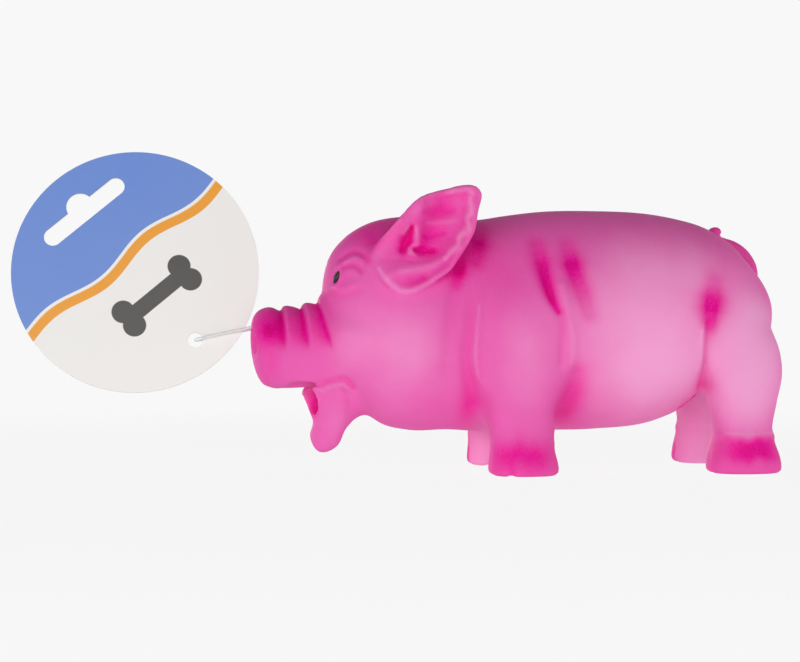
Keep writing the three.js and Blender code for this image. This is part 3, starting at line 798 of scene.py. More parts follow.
@dataclass(frozen=True)
class Post:
    """A leg: each row is a height, its middle along the toy, half its length, its middle out and half its width."""

    rows: tuple[tuple[float, float, float, float, float], ...]
    corner: float = 2.5  # above 2, how square its section is
    least: float = 2.0
    sole: float = 2.4
    top: float = 9.0
    toe: float = 0.9

    def form(self, clay: Clay) -> Array:
        """The leg's distances, standing on the floor.

        Args:
            clay: the block to build it in.

        Returns:
            The distances.
        """
        heights = [row[0] for row in self.rows]
        columns = list(zip(*self.rows))[1:]
        middle_x, half_x, middle_out, half_out = (spline(heights, column, clay.z) for column in columns)
        half_x, half_out = np.maximum(half_x, self.least), np.maximum(half_out, self.least)
        x, out = np.abs(clay.x - middle_x) / half_x, np.abs(clay.out - middle_out) / half_out
        form = distances((x**self.corner + out**self.corner) ** (1 / self.corner) - 1, clay.step)
        _, foot_x, _, foot_out, _ = self.rows[0]
        cleft = np.exp(-((clay.out - foot_out) ** 2)) * smoothstep(-3, -7, clay.x - foot_x)
        form = form + self.toe * cleft * smoothstep(8, 4, clay.z)
        form = shared(form, -clay.z, self.sole)
        return shared(form, clay.z - heights[-1], self.top)


@dataclass(frozen=True)
class Stroke:
    """A groove, fold or airbrushed stroke on the toy's side, drawn as it is seen from the side.

    points are (x, z) in millimetres. width and spread are the half widths of the shape and of its paint, rise is above
    0 for a fold and below for a groove, blush is how much magenta is sprayed on it (in a few grooves it also paints the
    shade in them), and inner is how far from the middle plane it starts.
    """

    points: Pairs
    width: Ramp = (1.5,)
    rise: Ramp = (0.0,)
    blush: Ramp = (0.0,)
    spread: Ramp = (2.0,)
    inner: float = 9.0

    def lift(self, x: Array, out: Array, z: Array) -> Array:
        """How far it raises the skin."""
        return streak(self.points, self.width, x, z, self.rise) * smoothstep(self.inner, self.inner + 5, out)

    def paint(self, x: Array, out: Array, z: Array) -> Array:
        """How much magenta it lays."""
        return streak(self.points, self.spread, x, z, self.blush, 1.2) * smoothstep(self.inner - 2, self.inner + 3, out)


# ---------------------------------------------------------------- the pig's forms


@dataclass(frozen=True)
class EarForm:
    """A cupped ear, folded into two hollows, drawn on a leaning plane (u along, v across, n out).

    Each fold is a path on the leaf, its half widths along it and how far it rises; each sprayed mark, and each pale
    mark that paints a highlight on a rim or fold, is a path, its half widths and how much.
    """

    root: Triple = (-27.5, 24.33, 56.5)
    along: Triple = (0.585, -0.06, 0.773)
    across: Triple = (0.8, 0.0, -0.6)
    outline: Pairs = (
        (-1.2, -6.4), (1.1, -10), (3.3, -12), (6.1, -12.6), (9.6, -12.6), (16.9, -12.2), (22.9, -11.5), (27.1, -9.5),
        (31.6, -5.9), (36.4, -1.1), (36.9, 1.7), (35.6, 3.5), (32.2, 4.9), (28.4, 6.8), (25.9, 7.9), (20.9, 8.6),
        (15.5, 8.9), (12, 8.8), (8.4, 7.7), (5.1, 6.3), (0.9, 4.2), (-1.2, 1.8), (-1.9, -1.1), (-1.8, -4.3),
    )
    half_thickness: float = 1.2
    cup: Pair = (0.018, 0.003)  # how fast it curls up across and along
    front_tuck: float = 7.0  # how far its front edge bends in to the head
    root_swell: Pair = (0.8, 12.0)  # how much thicker its root is in front and behind
    bead: Triple = (1.0, 1.1, 1.15)  # how far in from the edge and how far out the rim's bead is, and its radius
    near: float = 0.8  # points this near to the ear are on it
    folds: tuple[Mark, ...] = (
        (((23.0, -10.0), (16.5, -10.2), (9.1, -9.2), (4.0, -8.0)), (2.2, 2.4), 0.6),
        (((16.0, -7.6), (14.0, -6.9), (12.0, -6.3), (9.2, -5.6)), (0.5, 1.2, 2.0, 1.2), -2.3),
        (((22.0, -9.0), (18.2, -6.8), (14.8, -4.6), (10.4, -3.4)), (2.0, 1.6), 0.75),
        (((27.0, -3.8), (22.0, -2.8), (17.0, -1.4)), (3.4, 3.0), -1.4),
        (((11.2, -2.9), (12.4, -0.8), (14.6, 2.2)), (0.8, 1.6, 0.8), -1.6),
        (((26.5, -6.2), (30.3, -3.6), (33.6, -0.8)), (1.4, 1.4), 0.5),
        (
            (
                (33.0, 1.2), (30.2, 3.4), (28.2, 3.6), (25.6, 5.6), (22.2, 5.2), (19.8, 6.3), (17.6, 5.8),
                (14.2, 5.5), (9.7, 3.2), (6.5, 0.4), (3.4, -2.6), (0.8, -4.8),
            ),
            (1.2, 1.2, 1.5, 1.8), 0.95,
        ),
        (((29.0, 1.4), (25.0, 3.0), (20.4, 3.2)), (1.3, 1.3), -0.6),
        (((-0.4, -1.4), (1.4, 0.8), (3.6, 2.8), (6.4, 4.6)), (1.4, 1.4), -0.8),
        (((21.6, -7.4), (24.2, -4.6), (27.4, -0.6)), (0.5, 1.1, 0.5), -0.45),
        (((19.6, -4.6), (22.4, -1.8), (25.4, 1.6)), (0.5, 1.0, 0.6), 0.45),
        (((16.4, -2.8), (18.2, -0.8), (20.8, 1.2)), (0.5, 0.9, 0.5), -0.5),
        (((27.6, -6.0), (30.4, -2.8), (32.2, 0.2)), (0.5, 0.9, 0.5), -0.4),
        (((3.0, -9.0), (5.6, -5.8), (7.4, -3.6)), (0.5, 0.9, 0.5), -0.35),
        (((7.6, -2.0), (10.4, 0.8), (13.6, 3.0)), (0.6, 1.0, 0.6), -0.4),
    )
    sprayed: tuple[Mark, ...] = (
        (((16.2, -7.7), (14.0, -6.8), (12.0, -6.3), (9.2, -5.7)), (0.5, 1.2, 2.0, 1.1), 1.0),
        # in the second hollow: magenta that also paints the shadow under the fold above it
        (((11.4, -2.7), (12.5, -0.8), (14.4, 1.9)), (0.9, 1.5, 0.9), 0.97),
        (((15.2, -8.0), (12.0, -7.0), (9.0, -6.4)), (1.4, 3.0, 1.8), 0.4),
        # in the second hollow again: a softer magenta that also paints the shadow under its fold
        (((11.6, -2.4), (13.4, 0.4), (15.4, 3.0)), (1.6, 2.3, 1.4), 0.35),
        (((15.0, -1.8), (20.0, -3.0), (27.0, -4.0)), (2.6, 3.4), 0.5), (((9.0, -4.4), (13.0, -1.2)), (2.6,), 0.35),
        (((21.6, -7.6), (24.4, -4.4), (27.6, -0.6)), (1.0, 1.7, 1.0), 0.4),
        (((16.2, -2.8), (18.4, -0.6), (21.0, 1.4)), (0.9, 1.3, 0.8), 0.45),
        (((-0.4, -1.2), (1.4, 0.9), (3.6, 2.8), (5.8, 4.2)), (1.4, 1.8, 1.4), 0.6),
        (((33.4, -0.4), (34.6, 1.2)), (1.4,), 0.35), (((30.0, 2.0), (23.0, 6.6)), (1.2,), 0.25),
    )
    # pale marks along the rims and folds: painted highlights where they catch the light
    pale_marks: tuple[Mark, ...] = (
        (
            (
                (34.6, 0.6), (33.0, 1.4), (30.2, 3.5), (28.2, 3.8), (25.6, 5.7), (22.2, 5.4), (19.8, 6.4),
                (17.6, 6.0), (14.2, 5.7),
            ),
            (1.0, 0.6, 1.1, 0.6, 1.2, 0.6, 0.9, 0.4), 0.9,
        ),
        (((29.6, 5.6), (27.0, 6.6), (24.2, 7.4), (19.3, 7.9), (13.8, 8.0)), (0.4, 0.8, 0.5, 0.8, 0.4), 0.4),
        (((14.2, 5.7), (9.7, 3.4), (6.5, 0.4), (3.4, -2.6)), (0.6, 1.2, 1.0), 0.45),
        (((31.0, -5.4), (35.2, -1.2)), (0.6, 1.0), 0.6),
        (
            ((9.6, 7.4), (5.1, 5.6), (0.9, 3.5), (-0.9, 1.4), (-1.3, -1.2), (-1.0, -4.4), (0.6, -8.0)),
            (0.3, 0.6, 0.9, 0.8, 0.5), 0.7,
        ),
        (((4.0, -10.4), (9.0, -10.8), (16.0, -10.2), (21.0, -9.6)), (1.8,), 0.35),
        (((19.8, -4.4), (22.6, -1.6), (25.6, 1.6)), (0.5, 0.9, 0.6), 0.35),
    )
    cut: float = 15.4  # the u where its free leaf starts
    flex: Pair = (0.7, 12.0)  # from the cut to where the leaf starts to bend and has bent
    tuck: float = 0.45

    def direction(self) -> Array:
        """The way the ear points."""
        return np.asarray(self.along) / np.linalg.norm(self.along)

    def local(self, x: Any, out: Any, z: Any) -> tuple[Any, Any, Any]:
        """Each point's u, v and n.

        Args:
            x: each point's place along the toy.
            out: its distance from the middle plane.
            z: its height.

        Returns:
            The three.
        """
        a, c = self.direction(), np.asarray(self.across)
        n = np.cross(a, c)
        dx, dy, dz = x - self.root[0], out - self.root[1], z - self.root[2]
        return tuple(dx * d[0] + dy * d[1] + dz * d[2] for d in (a, c, n))

    def middle(self, u: Any, v: Any) -> Any:
        """The middle of the leaf: cupped and folded, with its front edge bent in to the head at the root.

        Args:
            u: the place along the leaf.
            v: the place across it.

        Returns:
            The leaf's n there.
        """
        height = self.cup[0] * (v + 2) ** 2 + self.cup[1] * (u - 16) ** 2
        height = height - self.front_tuck * smoothstep(-3, -13, v) * smoothstep(16, 3, u) - smoothstep(6, -3, u)
        return height + sum(rise * streak(path, widths, u, v) for path, widths, rise in self.folds)

    def form(self, x: Any, out: Any, z: Any) -> Any:
        """The ear's distances; its root is thick behind, where it grows out of the head.

        Args:
            x: each point's place along the toy.
            out: its distance from the middle plane.
            z: its height.

        Returns:
            The distances.
        """
        u, v, n = self.local(x, out, z)
        edge = outline_distance(rounded_loop(self.outline, 3), u, v)
        lift = n - self.middle(u, v)
        front = self.half_thickness + self.root_swell[0] * smoothstep(9, -2, u)
        back = self.half_thickness + self.root_swell[1] * smoothstep(10, 0.5, u)
        corner = self.half_thickness * 0.85
        off, past = np.maximum(lift - front, -lift - back) + corner, edge + corner
        leaf = np.minimum(np.maximum(off, past), 0) + np.hypot(np.maximum(off, 0), np.maximum(past, 0)) - corner
        inset, rise, radius = self.bead
        rim = np.hypot(edge + inset, lift - rise) - radius + 2.4 * smoothstep(-4, -9, v)
        return joined(leaf, rim, 1.0)

    def blush(self, x: Array, out: Array, z: Array) -> list[Array]:
        """The layers of magenta sprayed on the ear, which in the second hollow also paint the shadow under its fold.

        Args:
            x: each point's place along the toy.
            out: its distance from the middle plane.
            z: its height.

        Returns:
            The share of magenta in each layer.
        """
        u, v, n = self.local(x, out, z)
        on_ear = smoothstep(-1, 4, u) * (self.form(x, out, z) < self.near)
        outer = on_ear * smoothstep(-0.6, 0.4, n - self.middle(u, v))
        return [0.14 * on_ear, *(much * outer * streak(path, widths, u, v) for path, widths, much in self.sprayed)]

    def rub_and_highlight(self, x: Array, out: Array, z: Array) -> list[Array]:
        """Where the ear's rims and folds are painted paler, as highlights.

        Args:
            x: each point's place along the toy.
            out: its distance from the middle plane.
            z: its height.

        Returns:
            How much paler each mark makes the paint.
        """
        u, v, n = self.local(x, out, z)
        outer = (self.form(x, out, z) < self.near) * smoothstep(-0.6, 0.4, n - self.middle(u, v))
        return [much * outer * streak(path, widths, u, v) for path, widths, much in self.pale_marks]


@dataclass(frozen=True)
class JawForm:
    """The open lower jaw, a scoop that hangs from the chin (s along it, t to its front)."""

    hinge: Pair = (-41.4, 24.8)
    drop: float = 70.0
    body: Loft = Loft(
        -9.0,
        (
            (-5, 19.0, -7.8, 10.2), (0, 19.4, -8.2, 10.6), (4, 17.4, -7.6, 10.0), (8, 10.4, -5.5, 8.4),
            (11, 6.2, -4.2, 7.0), (16.5, 4.9, -3.6, 5.6),
        ),
        20.3,
    )
    scoop: tuple[float, float, float, float, float] = (0.5, 13.0, 12.6, 10.4, 8.8)
    cut: float = 10.0  # the s where its free end starts
    flex: Pair = (0.6, 6.0)  # from the cut to where that starts to bend and has bent
    twist: float = 0.19

    def direction(self) -> Array:
        """The way the jaw points."""
        lean = math.radians(self.drop)
        return np.array([-math.cos(lean), 0, -math.sin(lean)])

    def local(self, x: Any, z: Any) -> tuple[Any, Any]:
        """Each point's s and t.

        Args:
            x: each point's place along the toy.
            z: its height.

        Returns:
            Both.
        """
        lean = math.radians(self.drop)
        dx, dz = x - self.hinge[0], z - self.hinge[1]
        return -dx * math.cos(lean) - dz * math.sin(lean), -dx * math.sin(lean) + dz * math.cos(lean)

    def point(self, s: float, t: float) -> Pair:
        """The (x, z) of a place on the jaw.

        Args:
            s: the place along the jaw.
            t: the place to its front.

        Returns:
            Both, in millimetres.
        """
        lean = math.radians(self.drop)
        x = -s * math.cos(lean) - t * math.sin(lean)
        z = -s * math.sin(lean) + t * math.cos(lean)
        return self.hinge[0] + x, self.hinge[1] + z

    def hollow(self, s: Any, t: Any, out: Any) -> Any:
        """Below 1 inside the scoop's hollow."""
        at_s, at_t, long, deep, wide = self.scoop
        return ((s - at_s) / long) ** 2 + ((t - at_t) / deep) ** 2 + (out / wide) ** 2

    def form(self, clay: Clay) -> Array:
        """The jaw's distances, hollowed like a scoop.

        Args:
            clay: the block to build it in.

        Returns:
            The distances.
        """
        s, t = self.local(clay.x, clay.z)
        hollow = distances(self.hollow(s, t, clay.out) - 1, clay.step)
        return shared(self.body.form(s, t, clay.out, clay.step), -hollow, 1.4)


@dataclass(frozen=True)
class PigForm:
    """The whole latex moulding and its airbrushed paint, in millimetres from the neck seam."""

    trunk: Loft = Loft(
        -48.2,
        (
            (-46.6, 63.8, 44.0, 8.6), (-43.5, 69.2, 32.0, 14.2), (-39.3, 73.0, 23.9, 18.9), (-31.5, 76.7, 15.4, 24.6),
            (-22.1, 78.0, 12.6, 27.0), (-9.6, 77.0, 12.6, 27.0), (0.0, 77.1, 12.0, 27.6), (8.0, 78.3, 12.0, 29.0),
            (18.6, 79.6, 12.2, 30.1), (35.3, 80.0, 12.4, 31.0), (55.8, 78.8, 15.2, 31.0), (63.0, 77.4, 18.4, 30.2),
            (68.8, 75.8, 22.6, 28.8), (78.1, 70.7, 26.5, 24.2), (86.5, 61.8, 31.0, 17.4),
        ),
        93.0,
    )
    snout: Loft = Loft(
        -69.9,
        (
            (-69.0, 45.8, 30.6, 6.9), (-67.6, 48.4, 27.4, 9.8), (-65.0, 50.0, 25.9, 11.3), (-60.5, 50.3, 25.6, 11.8),
            (-54.0, 50.9, 25.8, 11.9), (-46.0, 53.2, 26.0, 13.8), (-38.0, 54.4, 25.6, 18.0),
        ),
        -27.0,
    )
    snout_tilt: float = 0.08
    snout_level: float = 38.0
    nose: Pair = (-69.0, 39.0)
    neck_flex: Pair = (9.0, -14.0)  # where the skin starts to bend with the head, and has bent
    snout_fillet: Pair = (2.6, 5.0)  # at its top, and how much more below
    leg_fillets: Pair = (4.6, 3.0)  # of the front and the rear legs
    jaw_fillet: float = 4.0
    ear_fillet: float = 2.6
    coronets: tuple[Triple, Triple] = ((9.6, 1.2, 0.2), (11.4, 1.1, 0.5))  # height, half width and rise over a hoof
    lids: Pair = (1.5, 2.3)  # half the eye's width and height
    lid_ring: Triple = (1.4, 0.36, 0.5)  # its place in those halves, half its width and its rise
    socket: Pair = (0.9, 0.4)  # its reach in those halves and its depth
    leg_tones: Pairs = ((10.0, 12.0), (78.5, 13.0))  # where each leg is paler inside, and how far to either side
    hooves: tuple[tuple[float, float, float, float, int, float], ...] = (
        # a sprayed hoof's middle, half its length, its height, half its width, how sharply it ends and how much
        (8.6, 8.6, 6.4, 4.6, 2, 0.8), (79.2, 9.4, 7.6, 3.9, 4, 0.9),
    )
    front_leg: Post = Post(
        (
            (0, 10.6, 10.7, 19.5, 9.5), (3, 10.5, 10.4, 19.5, 9.3), (8, 10.1, 9.6, 19.5, 8.8),
            (20, 10.0, 10.6, 19.3, 9.3), (34, 9.7, 12.2, 19.0, 11.4), (46, 9.4, 11.4, 18.4, 11.6),
            (60, 10.0, 8.0, 15.0, 9.0),
        )
    )
    rear_leg: Post = Post(
        (
            (0, 78.7, 11.5, 19.5, 9.5), (4, 78.6, 11.0, 19.5, 9.4), (12.5, 78.1, 8.9, 19.4, 8.6),
            (21, 78.2, 10.2, 18.8, 9.4), (30, 78.2, 12.2, 17.8, 10.6), (44, 75.5, 12.6, 15.4, 11.4),
            (60, 72.5, 8.0, 12.0, 9.0),
        )
    )
    ear: EarForm = EarForm()
    jaw: JawForm = JawForm()
    eye_at: Pair = (-44.9, 59.3)
    nostril: Triple = (5.2, 2.6, 1.5)  # how far out it is, its radius and its depth
    wrinkles: tuple[Triple, ...] = ((-60.9, 0.05, 1.9), (-54.3, 0.12, 1.8), (-48.2, 0.25, 1.8))
    strokes: tuple[Stroke, ...] = (
        # the shoulder
        Stroke(
            ((14.2, 68.4), (14.9, 63.4), (15.7, 58.4), (17.0, 53.4), (18.9, 49.0)),
            (2.4, 2.4, 1.9, 1.4, 0.9), (-0.3, -1.0, -1.0, -1.1, -0.6), (0.5, 0.9, 0.95, 0.98, 0.85),
            (3.0, 3.2, 2.5, 1.9, 1.1),
        ),
        Stroke(
            ((23.2, 68.4), (23.8, 63.4), (24.8, 58.8), (26.4, 54.0), (27.9, 48.8)),
            (2.2, 2.5, 2.4, 2.2, 1.8), (-0.3, -0.8, -0.8, -0.7, -0.3), (0.45, 0.95, 0.8, 0.6, 0.35),
            (3.2, 3.8, 3.4, 3.4, 3.0),
        ),
        Stroke(((20.4, 57.0), (21.6, 50.6), (22.8, 43.3), (23.5, 37.4), (22.8, 32.6)), (1.4, 1.7), (0.75,)),
        # a soft groove between the front leg and the flank; its faint magenta paints the shade in it
        Stroke(((20.0, 49.4), (20.2, 44.0), (20.0, 38.0), (19.8, 34.4)), (1.0,), (-0.45,), (0.2, 0.05), (1.4,)),
        # the front leg and the hollows round it
        Stroke(((25.4, 31.0), (24.6, 25.0), (22.4, 19.0)), (2.8,), (-1.4,), (0.3, 0.45), (2.8, 4.2)),
        Stroke(
            ((-3.0, 58.0), (-4.4, 50.0), (-5.1, 41.8), (-5.3, 35.9), (-4.3, 29.9), (-2.6, 27.0)), (1.1,),
            (0.0, 0.5, 0.85, 0.85, 0.85, 0.4),
        ),
        Stroke(
            ((-5.8, 58.0), (-7.0, 48.0), (-7.9, 35.9), (-6.4, 28.4), (-4.8, 22.2)),
            (1.6, 1.6, 1.8, 2.0, 2.2), (0.0, -0.8, -1.0, -1.0, -1.0), (0.02, 0.14, 0.18, 0.35, 0.45),
            (1.6, 1.8, 2.2, 2.8, 3.4),
        ),
        # the neck behind the ear
        Stroke(
            ((-10.4, 62.0), (-11.4, 56.7), (-13.0, 43.4), (-13.4, 31.6)), (1.7, 2.4), (-0.5,), (0.2, 0.08),
            (2.4, 2.6),
        ),
        Stroke(
            ((-7.0, 67.6), (-9.0, 62.8), (-9.8, 60.6), (-10.7, 57.0)),
            (1.6, 1.8, 2.0, 1.6), (-0.3, -0.7, -0.7, -0.2), (0.5, 0.95, 0.97, 0.5), (1.8, 2.6, 2.8, 1.8),
        ),
        Stroke(
            ((-1.2, 73.4), (-2.8, 69.4), (-4.2, 64.0)), (1.8, 2.0, 1.6), (-0.2, -0.5, -0.2), (0.5, 0.95, 0.6),
            (3.0, 3.7, 2.6), 5.0,
        ),
        Stroke(((-15.8, 58.6), (-12.9, 60.4)), (0.9,), (-0.4,), (0.4, 0.5), (1.3,)),
        # the thigh
        Stroke(((64.7, 46.0), (64.4, 40.0), (64.9, 33.0), (65.6, 27.0)), (1.1, 1.5), (-0.9,), (0.1, 0.15), (1.3, 1.8)),
        Stroke(((62.7, 44.6), (62.8, 38.7), (63.5, 31.7)), (0.9, 1.0), (0.65,)),
        Stroke(
            ((66.8, 57.6), (66.1, 53.2), (65.4, 49.4), (65.0, 45.2)),
            (3.0, 3.4, 3.2, 2.4), (-0.1, -0.4, -0.4, -0.2), (0.4, 0.86, 0.92, 0.6), (3.4, 4.6, 4.3, 2.7),
        ),
        Stroke(((65.5, 45.4), (65.1, 42.0), (64.6, 37.0)), (1.0,), (0.0,), (0.5, 0.25, 0.05), (2.2, 1.7, 1.2)),
        Stroke(((64.6, 33.0), (65.6, 26.5)), (1.0,), (0.0,), (0.15, 0.4), (2.0, 3.0)),
        # the slit where the belly meets the thigh; its full magenta paints the shadow in it
        Stroke(((61.6, 18.9), (63.6, 20.6), (65.6, 22.9)), (0.6, 0.7), (-1.2,), (1.0,), (0.7, 0.8), 3.0),
        Stroke(((96.0, 45.2), (85.0, 43.6)), (4.4,), (-0.5,), (0.1,), (4.0,), -6.0),
        # the mouth
        # the crease along the mouth; its faint magenta paints the shade in it
        Stroke(
            ((-58.0, 26.6), (-50.2, 27.2), (-44.6, 28.8), (-41.9, 28.5), (-40.2, 26.4)), (0.8, 0.9), (-0.7,),
            (0.12, 0.15), (1.0, 1.1), 3.0,
        ),
        Stroke(((-50.4, 25.2), (-46.6, 26.7), (-43.2, 27.1), (-41.4, 25.6)), (0.9, 1.0), (0.6,), inner=4.0),
        Stroke(((-43.6, 24.6), (-42.2, 21.0), (-41.8, 17.0)), (1.4,), (-0.5,), inner=4.0),
        # the brow and the lids; the magenta in the brow and lid grooves paints the shade in them
        Stroke(
            ((-43.6, 64.4), (-42.2, 65.4), (-40.0, 66.7), (-37.8, 66.1), (-36.2, 64.2)), (0.7, 0.9), (-0.5,),
            (0.25, 0.35), (0.9, 1.1), 3.0,
        ),
        Stroke(((-42.8, 63.4), (-39.9, 64.9), (-37.6, 64.4)), (0.8, 0.9), (0.4,), inner=3.0),
        Stroke(
            ((-43.2, 62.0), (-41.4, 62.9), (-39.4, 62.5), (-38.2, 60.8)), (0.7, 0.8), (-0.45,), (0.25, 0.3),
            (0.8, 0.9), 3.0,
        ),
        Stroke(((-42.4, 60.6), (-41.0, 61.2), (-39.6, 60.6)), (0.7,), (0.3,), inner=4.0),
        Stroke(((-46.4, 55.8), (-43.3, 55.6), (-40.2, 57.0)), (1.0,), (0.4,), inner=3.0),
        Stroke(((-46.6, 54.2), (-43.0, 53.8), (-39.0, 55.4)), (1.1,), (-0.3,), (0.1,), (1.2,), 3.0),
        # the toes
        Stroke(((5.6, -0.5), (6.0, 2.2)), (0.8,), (-0.5,), (0.2,), (1.0,)),
    )
    patches: tuple[Spot, ...] = (
        (-65.0, 43.0, 3.8, 4.2, 0.99), (-63.6, 46.0, 4.4, 5.0, 0.5), (-56.5, 45.0, 4.0, 5.0, 0.35),
        (-50.0, 46.0, 4.0, 5.0, 0.3), (-64.0, 34.0, 2.6, 5.0, 0.3), (-44.0, 58.6, 3.0, 3.0, 0.2),
        (24.6, 23.0, 4.6, 7.0, 0.4), (-6.0, 19.5, 3.0, 5.0, 0.5), (62.0, 20.5, 2.6, 3.0, 0.3),
        (-34.0, 74.0, 13.0, 7.0, 0.6), (-34.5, 70.0, 2.4, 3.2, 0.5), (2.0, 62.0, 9.0, 12.0, 0.25),
        (-14.0, 66.0, 9.0, 9.0, 0.35),
    )
    # Paler spots on the broad rounded middles of the flank, shoulder, thigh, rump and cheek: the toy's paler pink
    # there, and also a painted highlight where these faces meet the light; the spot at (-42, 40) paints light into the
    # hollow where the snout meets the cheek.
    pale_spots: tuple[Spot, ...] = (
        (50.0, 32.0, 21.0, 18.0, 0.95), (38.0, 50.0, 20.0, 16.0, 0.55), (79.0, 28.0, 10.0, 15.0, 0.97),
        (80.0, 43.0, 9.5, 13.5, 0.9), (61.0, 60.0, 13.0, 12.0, 0.5), (42.0, 64.0, 15.0, 9.0, 0.3),
        (8.0, 34.0, 9.0, 16.0, 0.4), (-26.0, 36.0, 13.0, 15.0, 0.5), (-42.0, 40.0, 8.0, 12.0, 0.3),
        (-46.0, 15.0, 6.0, 9.0, 0.25),
    )
    # pale lines on the fold ridges, the rear hoof's top edge, the front leg's ridge and the lip: paint thinned by wear,
    # and a painted highlight along each
    pale_marks: tuple[Mark, ...] = (
        (((62.4, 42.8), (62.7, 38.0), (63.4, 32.6)), (0.6, 0.7, 0.3), 1.0), (((61.2, 43.2), (62.8, 43.2)), (0.5,), 0.9),
        (((22.3, 46.0), (23.3, 40.0), (23.2, 33.6)), (0.5, 0.9, 0.5), 0.3),
        (((71.0, 12.4), (78.0, 12.2), (86.0, 12.4)), (0.3, 0.7, 0.4), 0.7),
        (((-4.2, 51.0), (-5.1, 41.8), (-5.3, 35.9), (-4.3, 29.9)), (0.3, 0.6, 0.7, 0.4), 0.4),
        (((-50.4, 25.2), (-46.6, 26.7), (-43.2, 27.1), (-41.4, 25.6)), (0.8,), 0.35),
    )
    step: float = 0.74
    block: tuple[Triple, Triple] = ((-73.5, 0.0, -2.1), (97.0, 41.0, 91.0))
    ear_block: tuple[Triple, Triple] = ((-50.0, 10.0, 46.0), (12.0, 41.0, 91.0))

    def clay(self) -> Clay:
        """A block that holds the whole moulding."""
        return Clay(*self.block, self.step)

    def eye(self, clay: Clay, trunk: Array) -> tuple[Array, Array]:
        """The near eye's middle on the face and the way it looks.

        Args:
            clay: the block that holds the trunk.
            trunk: the trunk's distances.

        Returns:
            A point and a unit vector.
        """
        x, z = self.eye_at
        spot = np.array([x, clay.surface_out(trunk, x, z), z])
        return spot, clay.slope(trunk, spot)

    def snout_form(self, clay: Clay) -> Array:
        """The snout's distances, with its wrinkles and nostrils.

        Args:
            clay: the block to build it in.

        Returns:
            The distances.
        """
        along = clay.x + self.snout_tilt * (clay.z - self.snout_level)
        form = self.snout.form(along, clay.z, clay.out, clay.step)
        for wrinkle in self.wrinkles:
            form = form + self._wrinkle(wrinkle, clay.x, clay.z)
        (x, z), (spread, radius, depth) = self.nose, self.nostril
        away = (along - x + radius - depth) ** 2 + (clay.out - spread) ** 2 + ((clay.z - z) * 0.8) ** 2
        return shared(form, radius - np.sqrt(away), 1.2)

    @staticmethod
    def _wrinkle(wrinkle: Triple, x: Any, z: Any, reach: float = 2.4) -> Any:
        """How deep one wrinkle of the snout is: it sinks slowly from the nose and ends at a sharp fold.

        Args:
            wrinkle: its x at the top, its slant and its depth.
            x: each point's place along the toy.
            z: its height.
            reach: how far in front of the fold it starts.

        Returns:
            The depth at each point.
        """
        where, slant, depth = wrinkle
        past = x + slant * (z - 44) - where
        fall = np.where(past < 0, np.exp(past / reach), np.exp(-((past / 0.85) ** 2)))
        return depth * (fall - 0.25) * smoothstep(36.5, 42, z) * smoothstep(2 * reach, 0, np.abs(past))

    def eyelids(self, clay: Clay, spot: Array, way: Array) -> Array:
        """How far the lids round the eye raise the skin, and its socket lowers it.

        Args:
            clay: the block to build it in.
            spot: the eye's middle.
            way: the way it looks.

        Returns:
            The rise at each point of the block.
        """
        side = np.cross((0, 0, 1), way)
        side /= np.linalg.norm(side)
        up = np.cross(way, side)
        gaps = (clay.x - spot[0], clay.out - spot[1], clay.z - spot[2])
        a, b, c = (sum(g * d for g, d in zip(gaps, axis)) for axis in (side, up, way))
        (wide, tall), (middle, half, rise), (reach, depth) = self.lids, self.lid_ring, self.socket
        ring = np.sqrt((a / wide) ** 2 + (b / tall) ** 2 + 0.08 * c * c)
        return rise * np.exp(-(((ring - middle) / half) ** 2)) - depth * np.exp(-((ring / reach) ** 2))

    def sculpt(self, clay: Clay) -> dict[str, Array]:
        """Builds the moulding.

        Args:
            clay: the block to build it in.

        Returns:
            The distances of the whole skin, of its trunk and of its jaw.
        """
        trunk = self.trunk.form(clay.x, clay.z, clay.out, clay.step)
        top, more = self.snout_fillet
        skin = joined(trunk, self.snout_form(clay), top + more * smoothstep(50, 42, clay.z))
        legs = np.minimum(self.front_leg.form(clay), self.rear_leg.form(clay))
        coronet = sum(
            rise * np.exp(-(((clay.z - height) / half) ** 2)) * here
            for (height, half, rise), here in zip(self.coronets, front_and_rear(clay.x))
        )
        fillet = np.where(clay.x < BETWEEN_LEGS, *self.leg_fillets)
        skin = joined(skin, legs - coronet * smoothstep(17, 24, clay.out), fillet)
        jaw = self.jaw.form(clay)
        skin = joined(skin, jaw, self.jaw_fillet)
        for stroke in self.strokes:
            skin = skin - stroke.lift(clay.x, clay.out, clay.z)
        skin = skin - self.eyelids(clay, *self.eye(clay, trunk))
        near = clay.window(*self.ear_block)
        ear = self.ear.form(clay.x[near[0]], clay.out[:, near[1]], clay.z[:, :, near[2]])
        skin[near] = joined(skin[near], ear, self.ear_fillet)
        return {"skin": skin, "trunk": trunk, "jaw": jaw}

